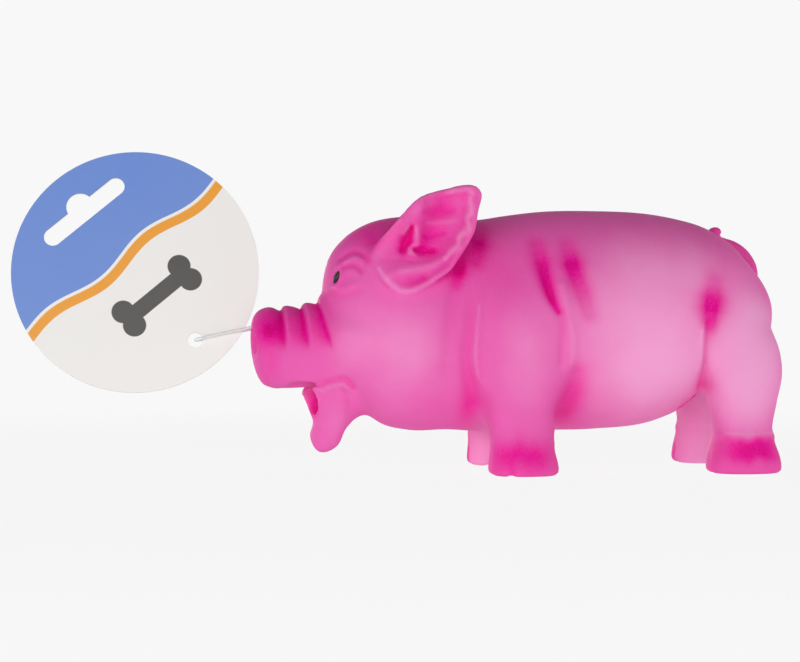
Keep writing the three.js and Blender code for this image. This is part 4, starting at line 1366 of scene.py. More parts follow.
    def blush(self, points: Array, normals: Array) -> Array:
        """How much magenta is sprayed at each point; in a few grooves and in the ear's second hollow it also paints
        shade.

        Args:
            points: in millimetres.
            normals: the way the skin faces there.

        Returns:
            The share of magenta, from 0 to 1.
        """
        x, out, z = from_side(points)
        layers = [stroke.paint(x, out, z) for stroke in self.strokes]
        layers += [soft_spot(patch, x, z) * smoothstep(2, 6, out) for patch in self.patches]
        layers += self._hooves(x, out, z, np.abs(normals[:, 2]))
        for wrinkle in self.wrinkles:
            layers.append(0.65 * np.clip(self._wrinkle(wrinkle, x, z, 4.5), 0, 1.3) * (x < -44))
        layers.append(0.2 * smoothstep(-63, -67, x) + 0.22 * smoothstep(-42, -50, x) * smoothstep(34, 42, z))
        layers += self.ear.blush(x, out, z)
        s, t = self.jaw.local(x, z)
        mouth = 0.9 * smoothstep(1.32, 1.08, self.jaw.hollow(s, t, out)) * smoothstep(9, 5.5, t)
        layers.append(mouth * smoothstep(-6, -2, s) * (x < -40) * (z < 26))
        bare = np.ones(len(points))
        for layer in layers:
            bare = bare * (1 - np.clip(layer, 0, 1))
        return 1 - bare

    def _hooves(self, x: Array, out: Array, z: Array, flat: Array) -> list[Array]:
        """Magenta sprayed on the outer side of each hoof, thinner towards its edges.

        Args:
            x: each point's place along the toy.
            out: its distance from the middle plane.
            z: its height.
            flat: how far the skin faces up or down there.

        Returns:
            The layers of magenta.
        """
        side = smoothstep(17, 24, out) * (flat < 0.95) * (z < 20)
        uneven = z + 0.5 * np.sin(0.6 * x) + 0.3 * np.sin(1.3 * x + 1)
        layers = []
        for (middle, half, level, tall, power, amount), here in zip(self.hooves, front_and_rear(x)):
            spray = np.exp(-(((x - middle) / half) ** 4) - ((uneven - level) / tall) ** power) * here
            layers.append(amount * side * spray)
        wash = smoothstep(12, 6, z) * (x > -20)
        return [*layers, 0.25 * wash * smoothstep(14, 22, out)]

    def rub_and_highlight(self, points: Array) -> Array:
        """How much paler the paint is at each point, along some folds and the ears' rims: paint thinned by wear, and
        painted highlights.

        Args:
            points: in millimetres.

        Returns:
            The share by which it is paler, from 0 to 1.
        """
        x, out, z = from_side(points)
        side = smoothstep(4, 9, out)
        layers = [much * side * streak(path, widths, x, z) for path, widths, much in self.pale_marks]
        return np.clip(sum(layers + self.ear.rub_and_highlight(x, out, z)), 0, 1)

    def tone(self, points: Array) -> Array:
        """How full the pink is at each point, from the pale flanks, which also carry a painted highlight, to the rest.

        Args:
            points: in millimetres.

        Returns:
            From 0 where it is pale to 1.
        """
        x, out, z = from_side(points)
        on_leg = sum(np.exp(-(((x - middle) / half) ** 4)) for middle, half in self.leg_tones)
        full = 1 - 0.75 * on_leg * smoothstep(22, 15, out) * smoothstep(26, 6, z)
        for spot in self.pale_spots:
            full = full * (1 - soft_spot(spot, x, z))
        return full


# ---------------------------------------------------------------- meshes


def put(name: str, data: Any) -> Object:
    """A new object in the scene.

    Args:
        name: its name.
        data: its mesh, lamp or camera.

    Returns:
        The object.
    """
    made = bpy.data.objects.new(name, data)
    bpy.context.scene.collection.objects.link(made)
    return made


def coat(mesh: Mesh, material: Material) -> None:
    """Gives a mesh one material."""
    mesh.materials.clear()
    mesh.materials.append(material)


def add_piece(name: str, mesh: Mesh, material: Material) -> Object:
    """Puts a finished mesh in the scene.

    Args:
        name: the piece's name.
        mesh: its mesh, in the shared frame.
        material: its finish.

    Returns:
        The piece.
    """
    coat(mesh, material)
    piece = put(name, mesh)
    LOG.info("%s: %d faces", name, len(mesh.polygons))
    return piece


def mesh_of(name: str, points: Array, faces: Sequence[Sequence[int]]) -> Mesh:
    """A smooth mesh from points in millimetres from the neck seam.

    Args:
        name: the mesh's name.
        points: its points.
        faces: the corners of each face.

    Returns:
        The mesh, in the shared frame.
    """
    mesh = bpy.data.meshes.new(name)
    placed = np.asarray(points, float) * MM + np.array([SEAM, 0, 0])
    mesh.from_pydata(placed.tolist(), [], [list(map(int, face)) for face in faces])
    mesh.polygons.foreach_set("use_smooth", np.full(len(mesh.polygons), True))
    return mesh


def set_attribute(mesh: Mesh, name: str, numbers: Array) -> None:
    """Gives each point of a mesh a number of its own."""
    mesh.attributes.new(name, "FLOAT", "POINT").data.foreach_set("value", np.asarray(numbers, np.float32))


def point_normals(points: Array, quads: Array) -> Array:
    """The way a mesh of quads faces at each of its points.

    Args:
        points: the mesh's points.
        quads: the corners of each face.

    Returns:
        A unit vector for each.
    """
    a, b, c, d = (points[quads[:, i]] for i in range(4))
    faces = np.cross(c - a, d - b)
    normals = np.zeros_like(points)
    for i in range(4):
        np.add.at(normals, quads[:, i], faces)
    return normals / np.maximum(np.linalg.norm(normals, axis=1, keepdims=True), 1e-12)


def close_cuts(mesh: Mesh) -> None:
    """Closes the open ends of a mesh, with a hard edge round each.

    Args:
        mesh: the mesh.
    """
    work = bmesh.new()
    work.from_mesh(mesh)
    rims = [edge for edge in work.edges if edge.is_boundary]
    bmesh.ops.holes_fill(work, edges=rims, sides=0)
    for edge in rims:
        edge.smooth = False
    work.to_mesh(mesh)
    work.free()


class Skin:
    """The latex skin: one moulding, parted only where the ears and the jaw flex on their own."""

    NECK_HEIGHT = 44.0
    NEAR = 1.5  # a face this near to a form is part of it
    CLEAR = 1.0  # and off the trunk if it is further from that
    CHIN = -30.0  # the jaw is in front of this x
    CREASES = (-0.15, -0.9)  # the bends between which paint gathers in a crease
    EDGES = (0.45, 1.6)  # the bends between which an edge is painted paler: paint thinned by wear, and a painted highlight

    def __init__(self, form: PigForm, latex: Material) -> None:
        """Models the moulding.

        Args:
            form: its shape and paint.
            latex: its finish.
        """
        self.form, self.latex = form, latex
        self.clay = form.clay()
        self.parts = form.sculpt(self.clay)
        self.points, self.quads = self.clay.mesh(self.parts["skin"])
        self.normals = point_normals(self.points, self.quads)
        bend = self.clay.bend(self.parts["skin"], self.points)
        gathered = 0.2 * smoothstep(*self.CREASES, bend)
        self.paint = {
            "blush": 1 - (1 - form.blush(self.points, self.normals)) * (1 - gathered),
            "tone": form.tone(self.points),
            # paler on sharp edges and along the listed marks: paint thinned by wear, and painted highlights
            "rub_and_highlight": np.maximum(0.7 * smoothstep(*self.EDGES, bend), form.rub_and_highlight(self.points)),
        }

    def _relax(self) -> None:
        """Turns the soft jaw a little to one side and tucks the far ear's front edge back."""
        x, y, z = self.points.T.copy()
        self.points[:, 0] -= self.form.jaw.twist * y * smoothstep(27, 23, z) * smoothstep(-36, -44, x)
        ear = self.form.ear
        u, v, _ = ear.local(x, np.abs(y), z)
        front = np.clip(-v - 4, 0, 9) * smoothstep(10, 20, u) * smoothstep(0, 8, y) * (ear.form(x, np.abs(y), z) < 1)
        self.points += (ear.tuck * front)[:, None] * np.asarray(ear.across)

    def _piece(self, name: str, chosen: Array) -> Object:
        """The piece that has the chosen faces.

        Args:
            name: its name.
            chosen: which of the skin's faces it has.

        Returns:
            The piece.
        """
        quads = self.quads[chosen]
        used, fresh = np.unique(quads, return_inverse=True)
        mesh = mesh_of(name, self.points[used], fresh.reshape(quads.shape))
        for kind, numbers in self.paint.items():
            set_attribute(mesh, kind, numbers[used])
        close_cuts(mesh)
        return add_piece(name, mesh, self.latex)

    def _straighten(self, chosen: Array, way: Array, level: float) -> None:
        """Slides the rim of the chosen faces along the skin on to a plane.

        Args:
            chosen: the faces on one side of the rim.
            way: the plane's direction.
            level: its distance along that.
        """
        rim = np.intersect1d(self.quads[chosen], self.quads[~chosen])
        normals = self.normals[rim]
        slide = way - normals * (normals @ way)[:, None]
        slide /= np.maximum((slide * slide).sum(axis=1), 0.3)[:, None]
        self.points[rim] += slide * (level - self.points[rim] @ way)[:, None]

    def build(self) -> None:
        """Makes the skin's pieces."""
        centres = self.points[self.quads].mean(axis=1)
        x, y, z = centres.T
        off_trunk = self.clay.sample(self.parts["trunk"], centres)
        u, _, _ = self.form.ear.local(x, np.abs(y), z)
        on_ear = (off_trunk > self.CLEAR) & (self.form.ear.form(x, np.abs(y), z) < self.NEAR)
        leaf = (u > self.form.ear.cut) & on_ear
        s, _ = self.form.jaw.local(x, z)
        on_jaw = (self.clay.sample(self.parts["jaw"], centres) < self.NEAR) & (x < self.CHIN)
        lip = (s > self.form.jaw.cut) & on_jaw
        for side in Side:
            flap = leaf & (np.sign(y) == side.value)
            root, way = (np.asarray(v) * (1, side.value, 1) for v in (self.form.ear.root, self.form.ear.direction()))
            self._straighten(flap, way, root @ way + self.form.ear.cut)
        way, (hinge_x, hinge_z) = self.form.jaw.direction(), self.form.jaw.hinge
        self._straighten(lip, way, np.array([hinge_x, 0, hinge_z]) @ way + self.form.jaw.cut)
        self._relax()
        skin = self._piece("latex_skin", ~(leaf | lip))
        legs = ("front_left_leg", "front_right_leg", "rear_left_leg", "rear_right_leg")
        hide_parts("body_skin", "head_skin", "snout", *legs)
        start, end = (place(x, 0, self.NECK_HEIGHT) for x in self.form.neck_flex)
        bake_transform(skin)
        jaw = self._piece("jaw_scoop", lip)
        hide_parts("lower_jaw")
        (ax, az), (bx, bz) = (self.form.jaw.point(self.form.jaw.cut + more, 0) for more in self.form.jaw.flex)
        place(ax, 0, az)
        place(bx, 0, bz)
        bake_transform(jaw)
        for side in Side:
            self._ear(side, leaf & (np.sign(y) == side.value))

    def _ear(self, side: Side, chosen: Array) -> None:
        """One ear's free leaf.

        Args:
            side: which ear.
            chosen: the leaf's faces.
        """
        name = side.name.lower()
        piece = self._piece(f"{name}_ear_leaf", chosen)
        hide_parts(f"{name}_ear")
        root, way = np.asarray(self.form.ear.root), self.form.ear.direction()
        ends = [root + way * (self.form.ear.cut + more) for more in self.form.ear.flex]
        start, end = (place(spot[0], spot[1] * side.value, spot[2]) for spot in ends)
        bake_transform(piece)


@dataclass(frozen=True)
class Eyes:
    """Two small slit eyes of thick paint, set in their lids."""

    half_width: float = 1.15
    half_height: float = 1.95
    depth: float = 0.7
    inset: float = 0.1
    lean: float = 0.25
    pinch: float = 0.25  # how far its ends narrow
    back: float = 0.9  # its depth behind, as a share of that in front
    rings: int = 14
    spokes: int = 40

    def build(self, skin: Skin, material: Material) -> None:
        """Makes both eyes on the face.

        Args:
            skin: the modelled skin that they sit on.
            material: the paint.
        """
        spot, way = skin.form.eye(skin.clay, skin.parts["trunk"])
        for side in Side:
            flip = np.array([1, side.value, 1])
            name = f"{side.name.lower()}_eye"
            mesh = self._lens(f"{name}_paint", spot * flip, way * flip, side)
            piece = add_piece(f"{name}_paint", mesh, material)
            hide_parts(name)
            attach(piece, "head")

    def _lens(self, name: str, spot: Array, way: Array, side: Side) -> Mesh:
        """A domed slit, thick in the middle, with a closed back.

        Args:
            name: the mesh's name.
            spot: the eye's middle on the face.
            way: the way it looks.
            side: which eye.

        Returns:
            The mesh.
        """
        across = np.cross((0, 0, 1), way)
        across /= np.linalg.norm(across)
        up = np.cross(way, across) - side.value * self.lean * across * np.sign(across[0])
        points, edges = [], []
        for i in range(1, 2 * self.rings):
            angle = math.pi * i / (2 * self.rings)
            for j in range(self.spokes):
                turn = 2 * math.pi * j / self.spokes
                size = math.sin(angle)
                bulge = self.depth * math.cos(angle) * (1.0 if angle < math.pi / 2 else self.back)
                pinch = 1 - self.pinch * abs(math.sin(turn)) ** 3
                points.append(
                    spot
                    + way * (bulge - self.inset)
                    + across * (self.half_width * size * math.cos(turn) * pinch)
                    + up * (self.half_height * size * math.sin(turn))
                )
                edges.append(size**4)
        faces = []
        for i in range(2 * self.rings - 2):
            for j in range(self.spokes):
                a, b = i * self.spokes + j, i * self.spokes + (j + 1) % self.spokes
                faces.append((a, a + self.spokes, b + self.spokes, b))
        last = len(points) - self.spokes
        points += [spot + way * (self.depth - self.inset), spot - way * (self.depth * self.back + self.inset)]
        edges += [0.0, 1.0]
        for j in range(self.spokes):
            k = (j + 1) % self.spokes
            faces += [(len(points) - 2, j, k), (len(points) - 1, last + k, last + j)]
        mesh = mesh_of(name, np.asarray(points), faces)
        set_attribute(mesh, "edge", np.asarray(edges))
        return outward(mesh)


def outward(mesh: Mesh) -> Mesh:
    """Merges a mesh's doubles and turns its faces outwards.

    Args:
        mesh: the mesh.

    Returns:
        The same mesh.
    """
    work = bmesh.new()
    work.from_mesh(mesh)
    bmesh.ops.remove_doubles(work, verts=work.verts, dist=1e-7)
    bmesh.ops.recalc_face_normals(work, faces=work.faces)
    work.to_mesh(mesh)
    work.free()
    return mesh


class TubeTree:
    """Geometry Nodes that sweep a round section along a path, with a taper, a rounded tip and ripples."""

    SIZES = {"Root Radius": 1.0, "Tip Radius": 1.0, "Tip Share": 0.0, "Ripple Depth": 0.0, "Ripples": 0.0, "Step": 1.0}

    def __init__(self) -> None:
        """Builds the tree."""
        self.tree = bpy.data.node_groups.new("swept_tube", "GeometryNodeTree")
        nodes = Nodes(self.tree)
        face = self.tree.interface
        kinds = {"Path": "Geometry", **dict.fromkeys(self.SIZES, "Float"), "Sides": "Int", "Finish": "Material"}
        self.sockets = {}
        for name, kind in kinds.items():
            socket = face.new_socket(name, in_out="INPUT", socket_type=f"NodeSocket{kind}")
            self.sockets[name] = socket.identifier
            if name in self.SIZES:
                socket.default_value = self.SIZES[name]
        face.new_socket("Tube", in_out="OUTPUT", socket_type="NodeSocketGeometry")
        given = nodes.node("NodeGroupInput")
        value = {socket.name: Value(nodes, socket) for socket in given.outputs}
        path = nodes.out("GeometryNodeMeshToCurve", {}, {0: value["Path"]})
        path = nodes.out("GeometryNodeResampleCurve", {"mode": "LENGTH"}, {0: path, "Length": value["Step"]})
        share = nodes.out("GeometryNodeSplineParameter")
        radius = value["Root Radius"] + (value["Tip Radius"] - value["Root Radius"]) * share
        into = ((share - (1 - value["Tip Share"])) / value["Tip Share"].math("MAXIMUM", 1e-4)).math("MAXIMUM", 0.0)
        dome = (1 - (into * into).math("MINIMUM", 0.9996)).math("SQRT")
        wave = ((share * value["Ripples"] * math.tau).math("COSINE") + 1) * 0.5
        size = radius * dome - wave * value["Ripple Depth"]
        ring = nodes.out("GeometryNodeCurvePrimitiveCircle", {}, {"Resolution": value["Sides"], "Radius": 1.0})
        tube = nodes.out("GeometryNodeCurveToMesh", {}, {0: path, 1: ring, "Scale": size, "Fill Caps": True})
        tube = nodes.out("GeometryNodeSetShadeSmooth", {}, {0: tube})
        tube = nodes.out("GeometryNodeRealizeInstances", {}, {0: tube})
        tube = nodes.out("GeometryNodeSetMaterial", {}, {0: tube, "Material": value["Finish"]})
        nodes.node("NodeGroupOutput", {}, {0: tube})

    def sweep(self, name: str, path: Sequence[Vector], material: Material, sides: int, **sizes: float) -> Mesh:
        """Runs the tree on a path.

        Args:
            name: the mesh's name.
            path: the path's points, in metres.
            material: the tube's finish.
            sides: the sides of its section.
            sizes: the tree's inputs, with _ for a space in the name.

        Returns:
            The tube as a plain mesh.
        """
        line = bpy.data.meshes.new(f"{name}_path")
        line.from_pydata([tuple(p) for p in path], [(i, i + 1) for i in range(len(path) - 1)], [])
        holder = put(f"{name}_path", line)
        modifier = holder.modifiers.new("tube", "NODES")
        modifier.node_group = self.tree
        given = {key.replace("_", " "): size for key, size in sizes.items()} | {"Sides": sides, "Finish": material}
        for key, size in given.items():
            modifier[self.sockets[key]] = size
        return outward(made_plain(holder, name))


def made_plain(holder: Object, name: str) -> Mesh:
    """Turns an object's evaluated shape into a plain mesh and removes the object.

    Args:
        holder: the object.
        name: the new mesh's name.

    Returns:
        The mesh.
    """
    evaluated = holder.evaluated_get(bpy.context.evaluated_depsgraph_get())
    mesh = bpy.data.meshes.new_from_object(evaluated)
    mesh.name = name
    left = holder.data
    holder.modifiers.clear()
    bpy.data.objects.remove(holder)
    bpy.data.meshes.remove(left)
    return mesh


@dataclass(frozen=True)
class Tail:
    """A curl that lies on the slope of the rump; its points are up the slope, across it and off it."""

    foot: Triple = (81.0, 0.0, 67.79)
    up: Triple = (-0.699, 0.0, 0.716)
    off: Triple = (0.716, 0.0, 0.699)
    curl: tuple[Triple, ...] = (
        (-12.5, 0, -3.6), (-10.8, 0, -0.5), (-9, 0.2, 1.5), (-6.6, 0.7, 2.9), (-3.2, 1.4, 3.6), (0.2, 2.0, 3.1),
        (3, 2.2, 1.7), (5.0, 1.6, 0.7), (6.8, 0.2, 0.5), (8.2, -1.2, 0.8), (8.0, -2.4, 1.3), (6.8, -2.4, 1.6),
    )
    rise: float = -1.9
    root: float = 2.2
    tip: float = 2.0
    tip_share: float = 0.05
    sides: int = 28
    step: float = 0.45
    flex: tuple[int, int] = (8, 24)  # the points of its path where it starts to bend, and has bent

    def build(self, tubes: TubeTree, latex: Material) -> None:
        """Makes the tail.

        Args:
            tubes: the tree that sweeps it.
            latex: its finish.
        """
        foot, up, off = (np.asarray(v) for v in (self.foot, self.up, self.off))
        knots = [foot + up * a + np.array([0, b, 0]) + off * (c + self.rise) for a, b, c in self.curl]
        path = [place(*point) for point in smooth_path(knots, 8)]
        mesh = tubes.sweep(
            "tail_curl_tube", path, latex, self.sides,
            Root_Radius=self.root * MM, Tip_Radius=self.tip * MM, Tip_Share=self.tip_share, Step=self.step * MM,
        )
        points = np.array([v.co for v in mesh.vertices])
        share = np.clip((points[:, 2] - points[:, 2].min()) / np.ptp(points[:, 2]), 0, 1)
        set_attribute(mesh, "blush", 0.2 + 0.25 * share)
        set_attribute(mesh, "tone", np.ones(len(points)))
        set_attribute(mesh, "rub_and_highlight", np.zeros(len(points)))
        piece = add_piece("tail_curl_tube", mesh, latex)
        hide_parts("tail")
        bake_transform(piece)


@dataclass(frozen=True)
class Filling:
    """Loose fibre packed into the body and the head, with a pocket for the voice."""

    clearance: float = 3.3
    neck: Triple = (33.0, 43.5, 45.0)  # the x, z and radius of the ball that parts the two
    gap: float = 1.5
    head_end: float = 6.0
    pocket: tuple[float, float, float, float] = (40.0, 46.0, 19.5, 19.0)  # its x, z, radius and half depth
    tuft: float = 1.6
    thin: int = 3

    def build(self, skin: Skin, material: Material) -> None:
        """Makes both fillings.

        Args:
            skin: the modelled skin that they fill.
            material: the fibre.
        """
        clay, trunk = skin.clay, skin.parts["trunk"]
        x, z, radius = self.neck
        ball = np.sqrt((clay.x - x) ** 2 + clay.out**2 + (clay.z - z) ** 2) - radius
        inner = trunk + self.clearance
        at_x, at_z, size, half = self.pocket
        pocket = np.sqrt((clay.x - at_x) ** 2 + (clay.z - at_z) ** 2) - size
        pocket = np.maximum(pocket, clay.out - half)
        body = shared(shared(inner, np.minimum(ball, -clay.x) + self.gap, 4.0), -pocket, 2.0)
        head = shared(shared(inner, -ball + self.gap, 4.0), clay.x - self.head_end, 4.0)
        for name, body_name, form in (("body", "torso", body), ("head", "head", head)):
            points, quads = clay.mesh(form, self.thin)
            normals = point_normals(points, quads)
            points = points - normals * (self.tuft * self._lumps(points))[:, None]
            mesh = mesh_of(f"{name}_fibre", points, quads)
            piece = add_piece(f"{name}_fibre", mesh, material)
            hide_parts(f"{name}_filling")
            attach(piece, body_name)

    @staticmethod
    def _lumps(points: Array) -> Array:
        """Tufts from 0 to 1, from a few crossed waves.

        Args:
            points: in millimetres.

        Returns:
            The height of the tufts at each point.
        """
        total = np.zeros(len(points))
        for way, length in (((1, 0.4, 0.7), 11.0), ((-0.5, 1, 0.6), 7.0), ((0.3, -0.7, 1), 5.0), ((1, 1, -0.8), 3.6)):
            total += np.sin(points @ np.asarray(way) * (math.tau / length))
        return 0.5 + total / 8


@dataclass(frozen=True)
class Voice:
    """The squeeze voice: a folded bellows between two plates, with a reed in its tube."""

    middle: Pair = (40.0, 46.0)
    radius: float = 15.0
    fold: float = 3.6
    folds: int = 4
    press: float = 9.0
    sides: int = 72
    step: float = 0.45
    plastic: tuple[str, ...] = ("voice_press_plate", "voice_base", "reed_tube")

    def build(self, tubes: TubeTree, finishes: dict[Slot, Material]) -> None:
        """Makes the bellows and dresses the plates and the reed.

        Args:
            tubes: the tree that sweeps the bellows.
            finishes: the material of each slot.
        """
        x, z = self.middle
        low, high = (corner.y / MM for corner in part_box("voice_bellows"))
        path = [place(x, y, z) for y in np.linspace(low, high, 61)]
        mesh = tubes.sweep(
            "bellows_folds", path, finishes[Slot.BELLOWS], self.sides,
            Root_Radius=self.radius * MM, Tip_Radius=self.radius * MM, Ripple_Depth=self.fold * MM,
            Ripples=float(self.folds), Step=self.step * MM,
        )
        piece = add_piece("bellows_folds", mesh, finishes[Slot.BELLOWS])
        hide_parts("voice_bellows")
        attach(piece, "torso")
        place(x, high, z)
        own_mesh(piece)
        for node in self.plastic:
            dress(node, finishes[Slot.VOICE])
        dress("reed_tongue", finishes[Slot.BRASS])


def dress(node: str, material: Material) -> None:
    """Gives a CAD node that keeps its shape a better material.

    Args:
        node: the node's name.
        material: its finish.
    """
    coat(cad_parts[node].data, material)
    LOG.info("%s: dressed", node)


@dataclass(frozen=True)
class SwingTag:
    """The round card tag with its hanging slot and punched hole, and the nylon loop that holds it."""

    radius: float = 37.4
    thickness: float = 0.6
    turn: float = 40.0
    lean: float = 12.0
    hole_radius: float = 2.3
    hole_drop: float = 28.0
    slot_length: float = 30.0
    slot_width: float = 5.4
    slot_rise: float = 24.2
    hump_radius: float = 4.2
    hump_rise: float = 2.0
    loop_length: float = 17.9
    loop_drop: float = 12.0
    loop_bend: float = 1.3
    loop_bite: float = 4.0
    loop_flex: Pair = (0.8, -1.8)  # where the loop starts to bend in the nose, and has bent in front of it
    strand: float = 0.45
    nose: Triple = (-69.2, 0.0, 44.0)
    sides: int = 240
    hole_sides: int = 48
    arc_sides: int = 24
    strand_sides: int = 20
    strand_step: float = 0.3
    wall: float = 0.5  # a face whose normal rises less than this is at a cut edge

    @staticmethod
    def _turned(angle: float, axis: str) -> Matrix:
        """A rotation by degrees about an axis."""
        return Matrix.Rotation(math.radians(angle), 4, axis)

    def _at_nose(self) -> Matrix:
        """Takes the loop's own frame, which it leaves along -X, to the pig's frame."""
        return Matrix.Translation(self.nose) @ self._turned(-self.loop_drop, "Y") @ self._turned(-self.lean, "X")

    def _matrix(self) -> Matrix:
        """Takes the card's own across, up and out, in millimetres, to the pig's frame.

        Returns:
            The matrix.
        """
        turn = self._turned(self.loop_drop - self.turn, "Y") @ self._turned(90, "X")
        stand = Matrix.Translation((-self.loop_length, 0, 0)) @ turn
        return self._at_nose() @ stand @ Matrix.Translation((0, self.hole_drop, 0))

    def _loop(self, tubes: TubeTree, nylon: Material) -> None:
        """Makes the loop, from its turn inside the nose to its turn through the card.

        Args:
            tubes: the tree that sweeps it.
            nylon: its finish.
        """
        bend = self.loop_bend
        inner, outer = self.loop_bite - bend, bend - self.loop_length
        arcs = ((inner, range(-3, -91, -3)), (outer, range(-90, -271, -6)), (inner, range(90, 2, -3)))
        turns = [(x, math.radians(angle)) for x, angles in arcs for angle in angles]
        at_nose = self._at_nose()

        def spot(x: float, y: float) -> Vector:
            """A place on the loop, in the shared frame."""
            return place(*(at_nose @ Vector((x, y, 0))))

        path = [spot(x + bend * math.cos(angle), bend * math.sin(angle)) for x, angle in turns]
        mesh = tubes.sweep(
            "nylon_loop", path, nylon, self.strand_sides,
            Root_Radius=self.strand * MM, Tip_Radius=self.strand * MM, Step=self.strand_step * MM,
        )
        piece = add_piece("nylon_loop", mesh, nylon)
        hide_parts("tag_loop", "loop_anchor")
        start, end = (spot(x, 0) for x in self.loop_flex)
        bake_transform(piece)

    def _slot(self) -> list[Pair]:
        """The outline of the hanging slot, with its hump for a round hook.

        Returns:
            Its points on the card.
        """
        half, end = self.slot_width / 2, (self.slot_length - self.slot_width) / 2
        meet = math.asin((half - self.hump_rise) / self.hump_radius)
        arcs = (
            (end, self.slot_rise, half, -math.pi / 2, math.pi / 2),
            (0.0, self.slot_rise + self.hump_rise, self.hump_radius, meet, math.pi - meet),
            (-end, self.slot_rise, half, math.pi / 2, 3 * math.pi / 2),
        )
        outline = []
        for x, y, radius, first, last in arcs:
            for i in range(self.arc_sides + 1):
                angle = first + (last - first) * i / self.arc_sides
                outline.append((x + radius * math.cos(angle), y + radius * math.sin(angle)))
        return outline

    @staticmethod
    def _circle(up: float, radius: float, sides: int) -> list[Pair]:
        """A round outline on the card."""
        angles = [math.tau * i / sides for i in range(sides)]
        return [(radius * math.cos(a), up + radius * math.sin(a)) for a in angles]

    def _card(self) -> Mesh:
        """The card's mesh, with where each point is on the face.

        Returns:
            The mesh, in the card's own frame.
        """
        hole = self._circle(-self.hole_drop, self.hole_radius, self.hole_sides)
        outlines = [self._circle(0, self.radius, self.sides), self._slot(), hole]
        work = bmesh.new()
        edges = []
        for outline in outlines:
            ring = [work.verts.new((x, y, -self.thickness / 2)) for x, y in outline]
            edges += [work.edges.new((a, b)) for a, b in zip(ring, [*ring[1:], ring[0]])]
        bmesh.ops.triangle_fill(work, edges=edges, use_beauty=True)
        grown = bmesh.ops.extrude_face_region(work, geom=list(work.faces))
        for vert in (item for item in grown["geom"] if isinstance(item, bmesh.types.BMVert)):
            vert.co.z = self.thickness / 2
        bmesh.ops.recalc_face_normals(work, faces=work.faces)
        walls = {face for face in work.faces if abs(face.normal.z) < self.wall}
        bmesh.ops.split_edges(work, edges=[e for e in work.edges if len({f in walls for f in e.link_faces}) > 1])
        mesh = bpy.data.meshes.new("tag_card")
        work.to_mesh(mesh)
        work.free()
        return mesh

    def build(self, tubes: TubeTree, finishes: dict[Slot, Material]) -> None:
        """Makes the card and its loop.

        Args:
            tubes: the tree that sweeps the loop.
            finishes: the material of each slot.
        """
        mesh = self._card()
        flat = np.array([v.co for v in mesh.vertices])
        cut = np.zeros(len(flat))
        for face in mesh.polygons:
            if abs(face.normal.z) < self.wall:
                cut[list(face.vertices)] = 1
        for name, numbers in (("across", flat[:, 0]), ("up", flat[:, 1]), ("cut", cut)):
            set_attribute(mesh, name, numbers)
        mesh.transform(Matrix.Translation((SEAM, 0, 0)) @ Matrix.Scale(MM, 4) @ self._matrix())
        piece = add_piece("tag_card", mesh, finishes[Slot.CARD])
        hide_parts("hang_tag")
        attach(piece, "tag")
        self._loop(tubes, finishes[Slot.NYLON])


# ---------------------------------------------------------------- studio


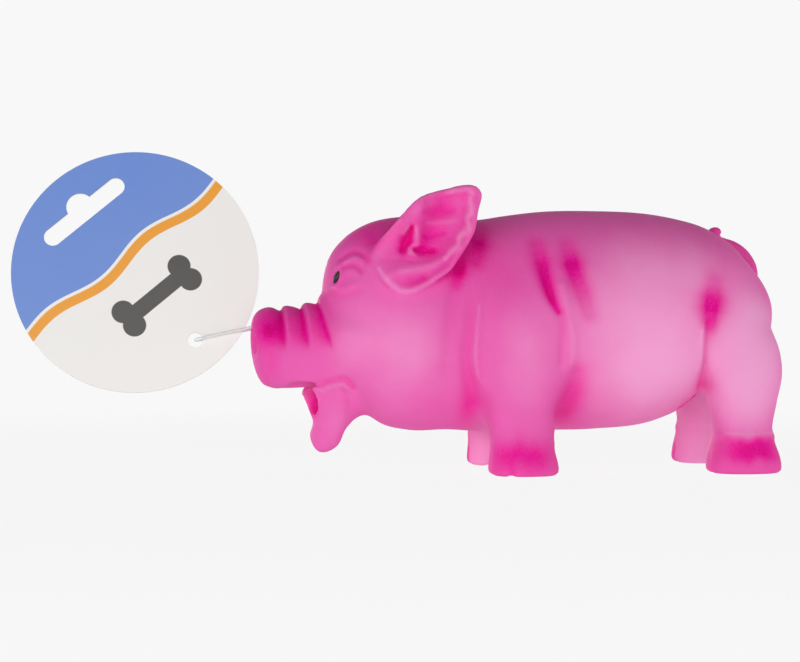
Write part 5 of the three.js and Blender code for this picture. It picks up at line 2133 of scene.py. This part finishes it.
@dataclass(frozen=True)
class Studio:
    """A pale floor, soft light from the camera's side, and the photograph's camera."""

    azimuth: float = -7.5
    elevation: float = 1.0
    distance: float = 0.6
    aim: Triple = (0.00027, 0.0, 0.0429)
    frame_width: float = 0.2456
    sensor: float = 36.0
    lit: Triple = (0.0, 0.0, 0.04)
    pale: str = "F8F8F8"
    ambient: float = 0.08
    floor_glow: float = 0.6
    lamps: tuple[tuple[str, Triple, Pair, float], ...] = (
        ("key_softbox", (-0.3, -1.15, 0.15), (3.2, 0.65), 21.3),
        ("left_softbox", (-1.2, 0.3, 0.26), (0.7, 0.6), 4.0),
        ("right_softbox", (1.2, 0.1, 0.16), (0.7, 0.5), 4.4),
        ("back_softbox", (-0.2, 1.2, 0.06), (2.0, 0.3), 7.0),
    )

    def build(self) -> None:
        """Makes the floor, the world, the lamps and the camera."""
        scene = bpy.context.scene
        scene.view_settings.view_transform = "Standard"
        self._floor()
        self._world()
        for name, spot, size, energy in self.lamps:
            lamp = bpy.data.lights.new(name, "AREA")
            lamp.shape, lamp.size, lamp.size_y, lamp.energy = "RECTANGLE", *size, energy
            holder = put(name, lamp)
            holder.location = spot
            holder.rotation_euler = (Vector(self.lit) - Vector(spot)).to_track_quat("-Z", "Y").to_euler()
        camera = bpy.data.cameras.new("camera")
        camera.lens, camera.sensor_width = self.sensor * self.distance / self.frame_width, self.sensor
        camera.clip_start, camera.clip_end = 0.01, 50.0
        holder = put("camera", camera)
        turn, rise = math.radians(self.azimuth), math.radians(self.elevation)
        back = Vector((math.sin(turn) * math.cos(rise), -math.cos(turn) * math.cos(rise), math.sin(rise)))
        holder.location = Vector(self.aim) + back * self.distance
        holder.rotation_euler = (-back).to_track_quat("-Z", "Y").to_euler()
        scene.camera = holder

    def _seen(self, nodes: Nodes) -> Value:
        """1 for rays that show the studio itself: from the camera, a reflection or through glass.

        Args:
            nodes: the tree that asks.

        Returns:
            1 or 0.
        """
        path = nodes.node("ShaderNodeLightPath")
        rays = [Value(nodes, path.outputs[name]) for name in ("Is Camera Ray", "Is Glossy Ray", "Is Transmission Ray")]
        return rays[0].math("MAXIMUM", rays[1]).math("MAXIMUM", rays[2])

    def _floor(self) -> None:
        """A wide pale floor that keeps a soft shadow."""
        mesh = bpy.data.meshes.new("studio_floor")
        wide, low = 30.0, -0.00015
        corners = ((-wide, -wide), (wide, -wide), (wide, wide), (-wide, wide))
        mesh.from_pydata([(x, y, low) for x, y in corners], [], [(0, 1, 2, 3)])
        mix = Recipe("studio_floor")
        base = mix.out("ShaderNodeBsdfDiffuse", {}, {"Color": linear(self.pale)})
        glow = mix.out("ShaderNodeEmission", {}, {"Color": linear(self.pale), "Strength": 1.0})
        away = mix.out("ShaderNodeVectorMath", {"operation": "LENGTH"}, {0: mix.coordinates}, "Value")
        seen = self._seen(mix)
        share = seen * (0.96 + 0.04 * away.above(0.12, 0.4)) + (1 - seen) * self.floor_glow
        shader = mix.out("ShaderNodeMixShader", {}, {0: share, 1: base, 2: glow})
        mix.node("ShaderNodeOutputMaterial", {}, {"Surface": shader})
        mesh.materials.append(mix.material)
        floor = put("studio_floor", mesh)

    def _world(self) -> None:
        """An even soft light all round, which shows as the pale background."""
        world = bpy.data.worlds.new("studio")
        world.use_nodes = True
        bpy.context.scene.world = world
        nodes = Nodes(world.node_tree)
        seen = self._seen(nodes)
        strength = self.ambient + seen * (1.0 - self.ambient)
        sky = nodes.out("ShaderNodeBackground", {}, {"Color": linear(self.pale), "Strength": strength})
        nodes.node("ShaderNodeOutputWorld", {}, {"Surface": sky})


def main() -> None:
    """Builds the toy piece by piece, and its studio."""
    logging.basicConfig(level=logging.INFO, format="%(message)s")
    Studio().build()
    finishes = {
        Slot.LATEX: LatexFinish().material(),
        Slot.EYE: EyeFinish().material(),
        Slot.FIBRE: FibreFinish().material(),
        Slot.BELLOWS: PlasticFinish("bellows_plastic", "C4CCD0", "DEE4E6").material(),
        Slot.VOICE: PlasticFinish("voice_plastic", "E8DEC4", "F2ECDC", 0.4).material(),
        Slot.BRASS: BrassFinish().material(),
        Slot.NYLON: NylonFinish().material(),
        Slot.CARD: CardFinish().material(),
    }
    tubes = TubeTree()
    skin = Skin(PigForm(), finishes[Slot.LATEX])
    skin.build()
    Eyes().build(skin, finishes[Slot.EYE])
    Tail().build(tubes, finishes[Slot.LATEX])
    Filling().build(skin, finishes[Slot.FIBRE])
    Voice().build(tubes, finishes)
    SwingTag().build(tubes, finishes)


if __name__ == "__main__":
    main()
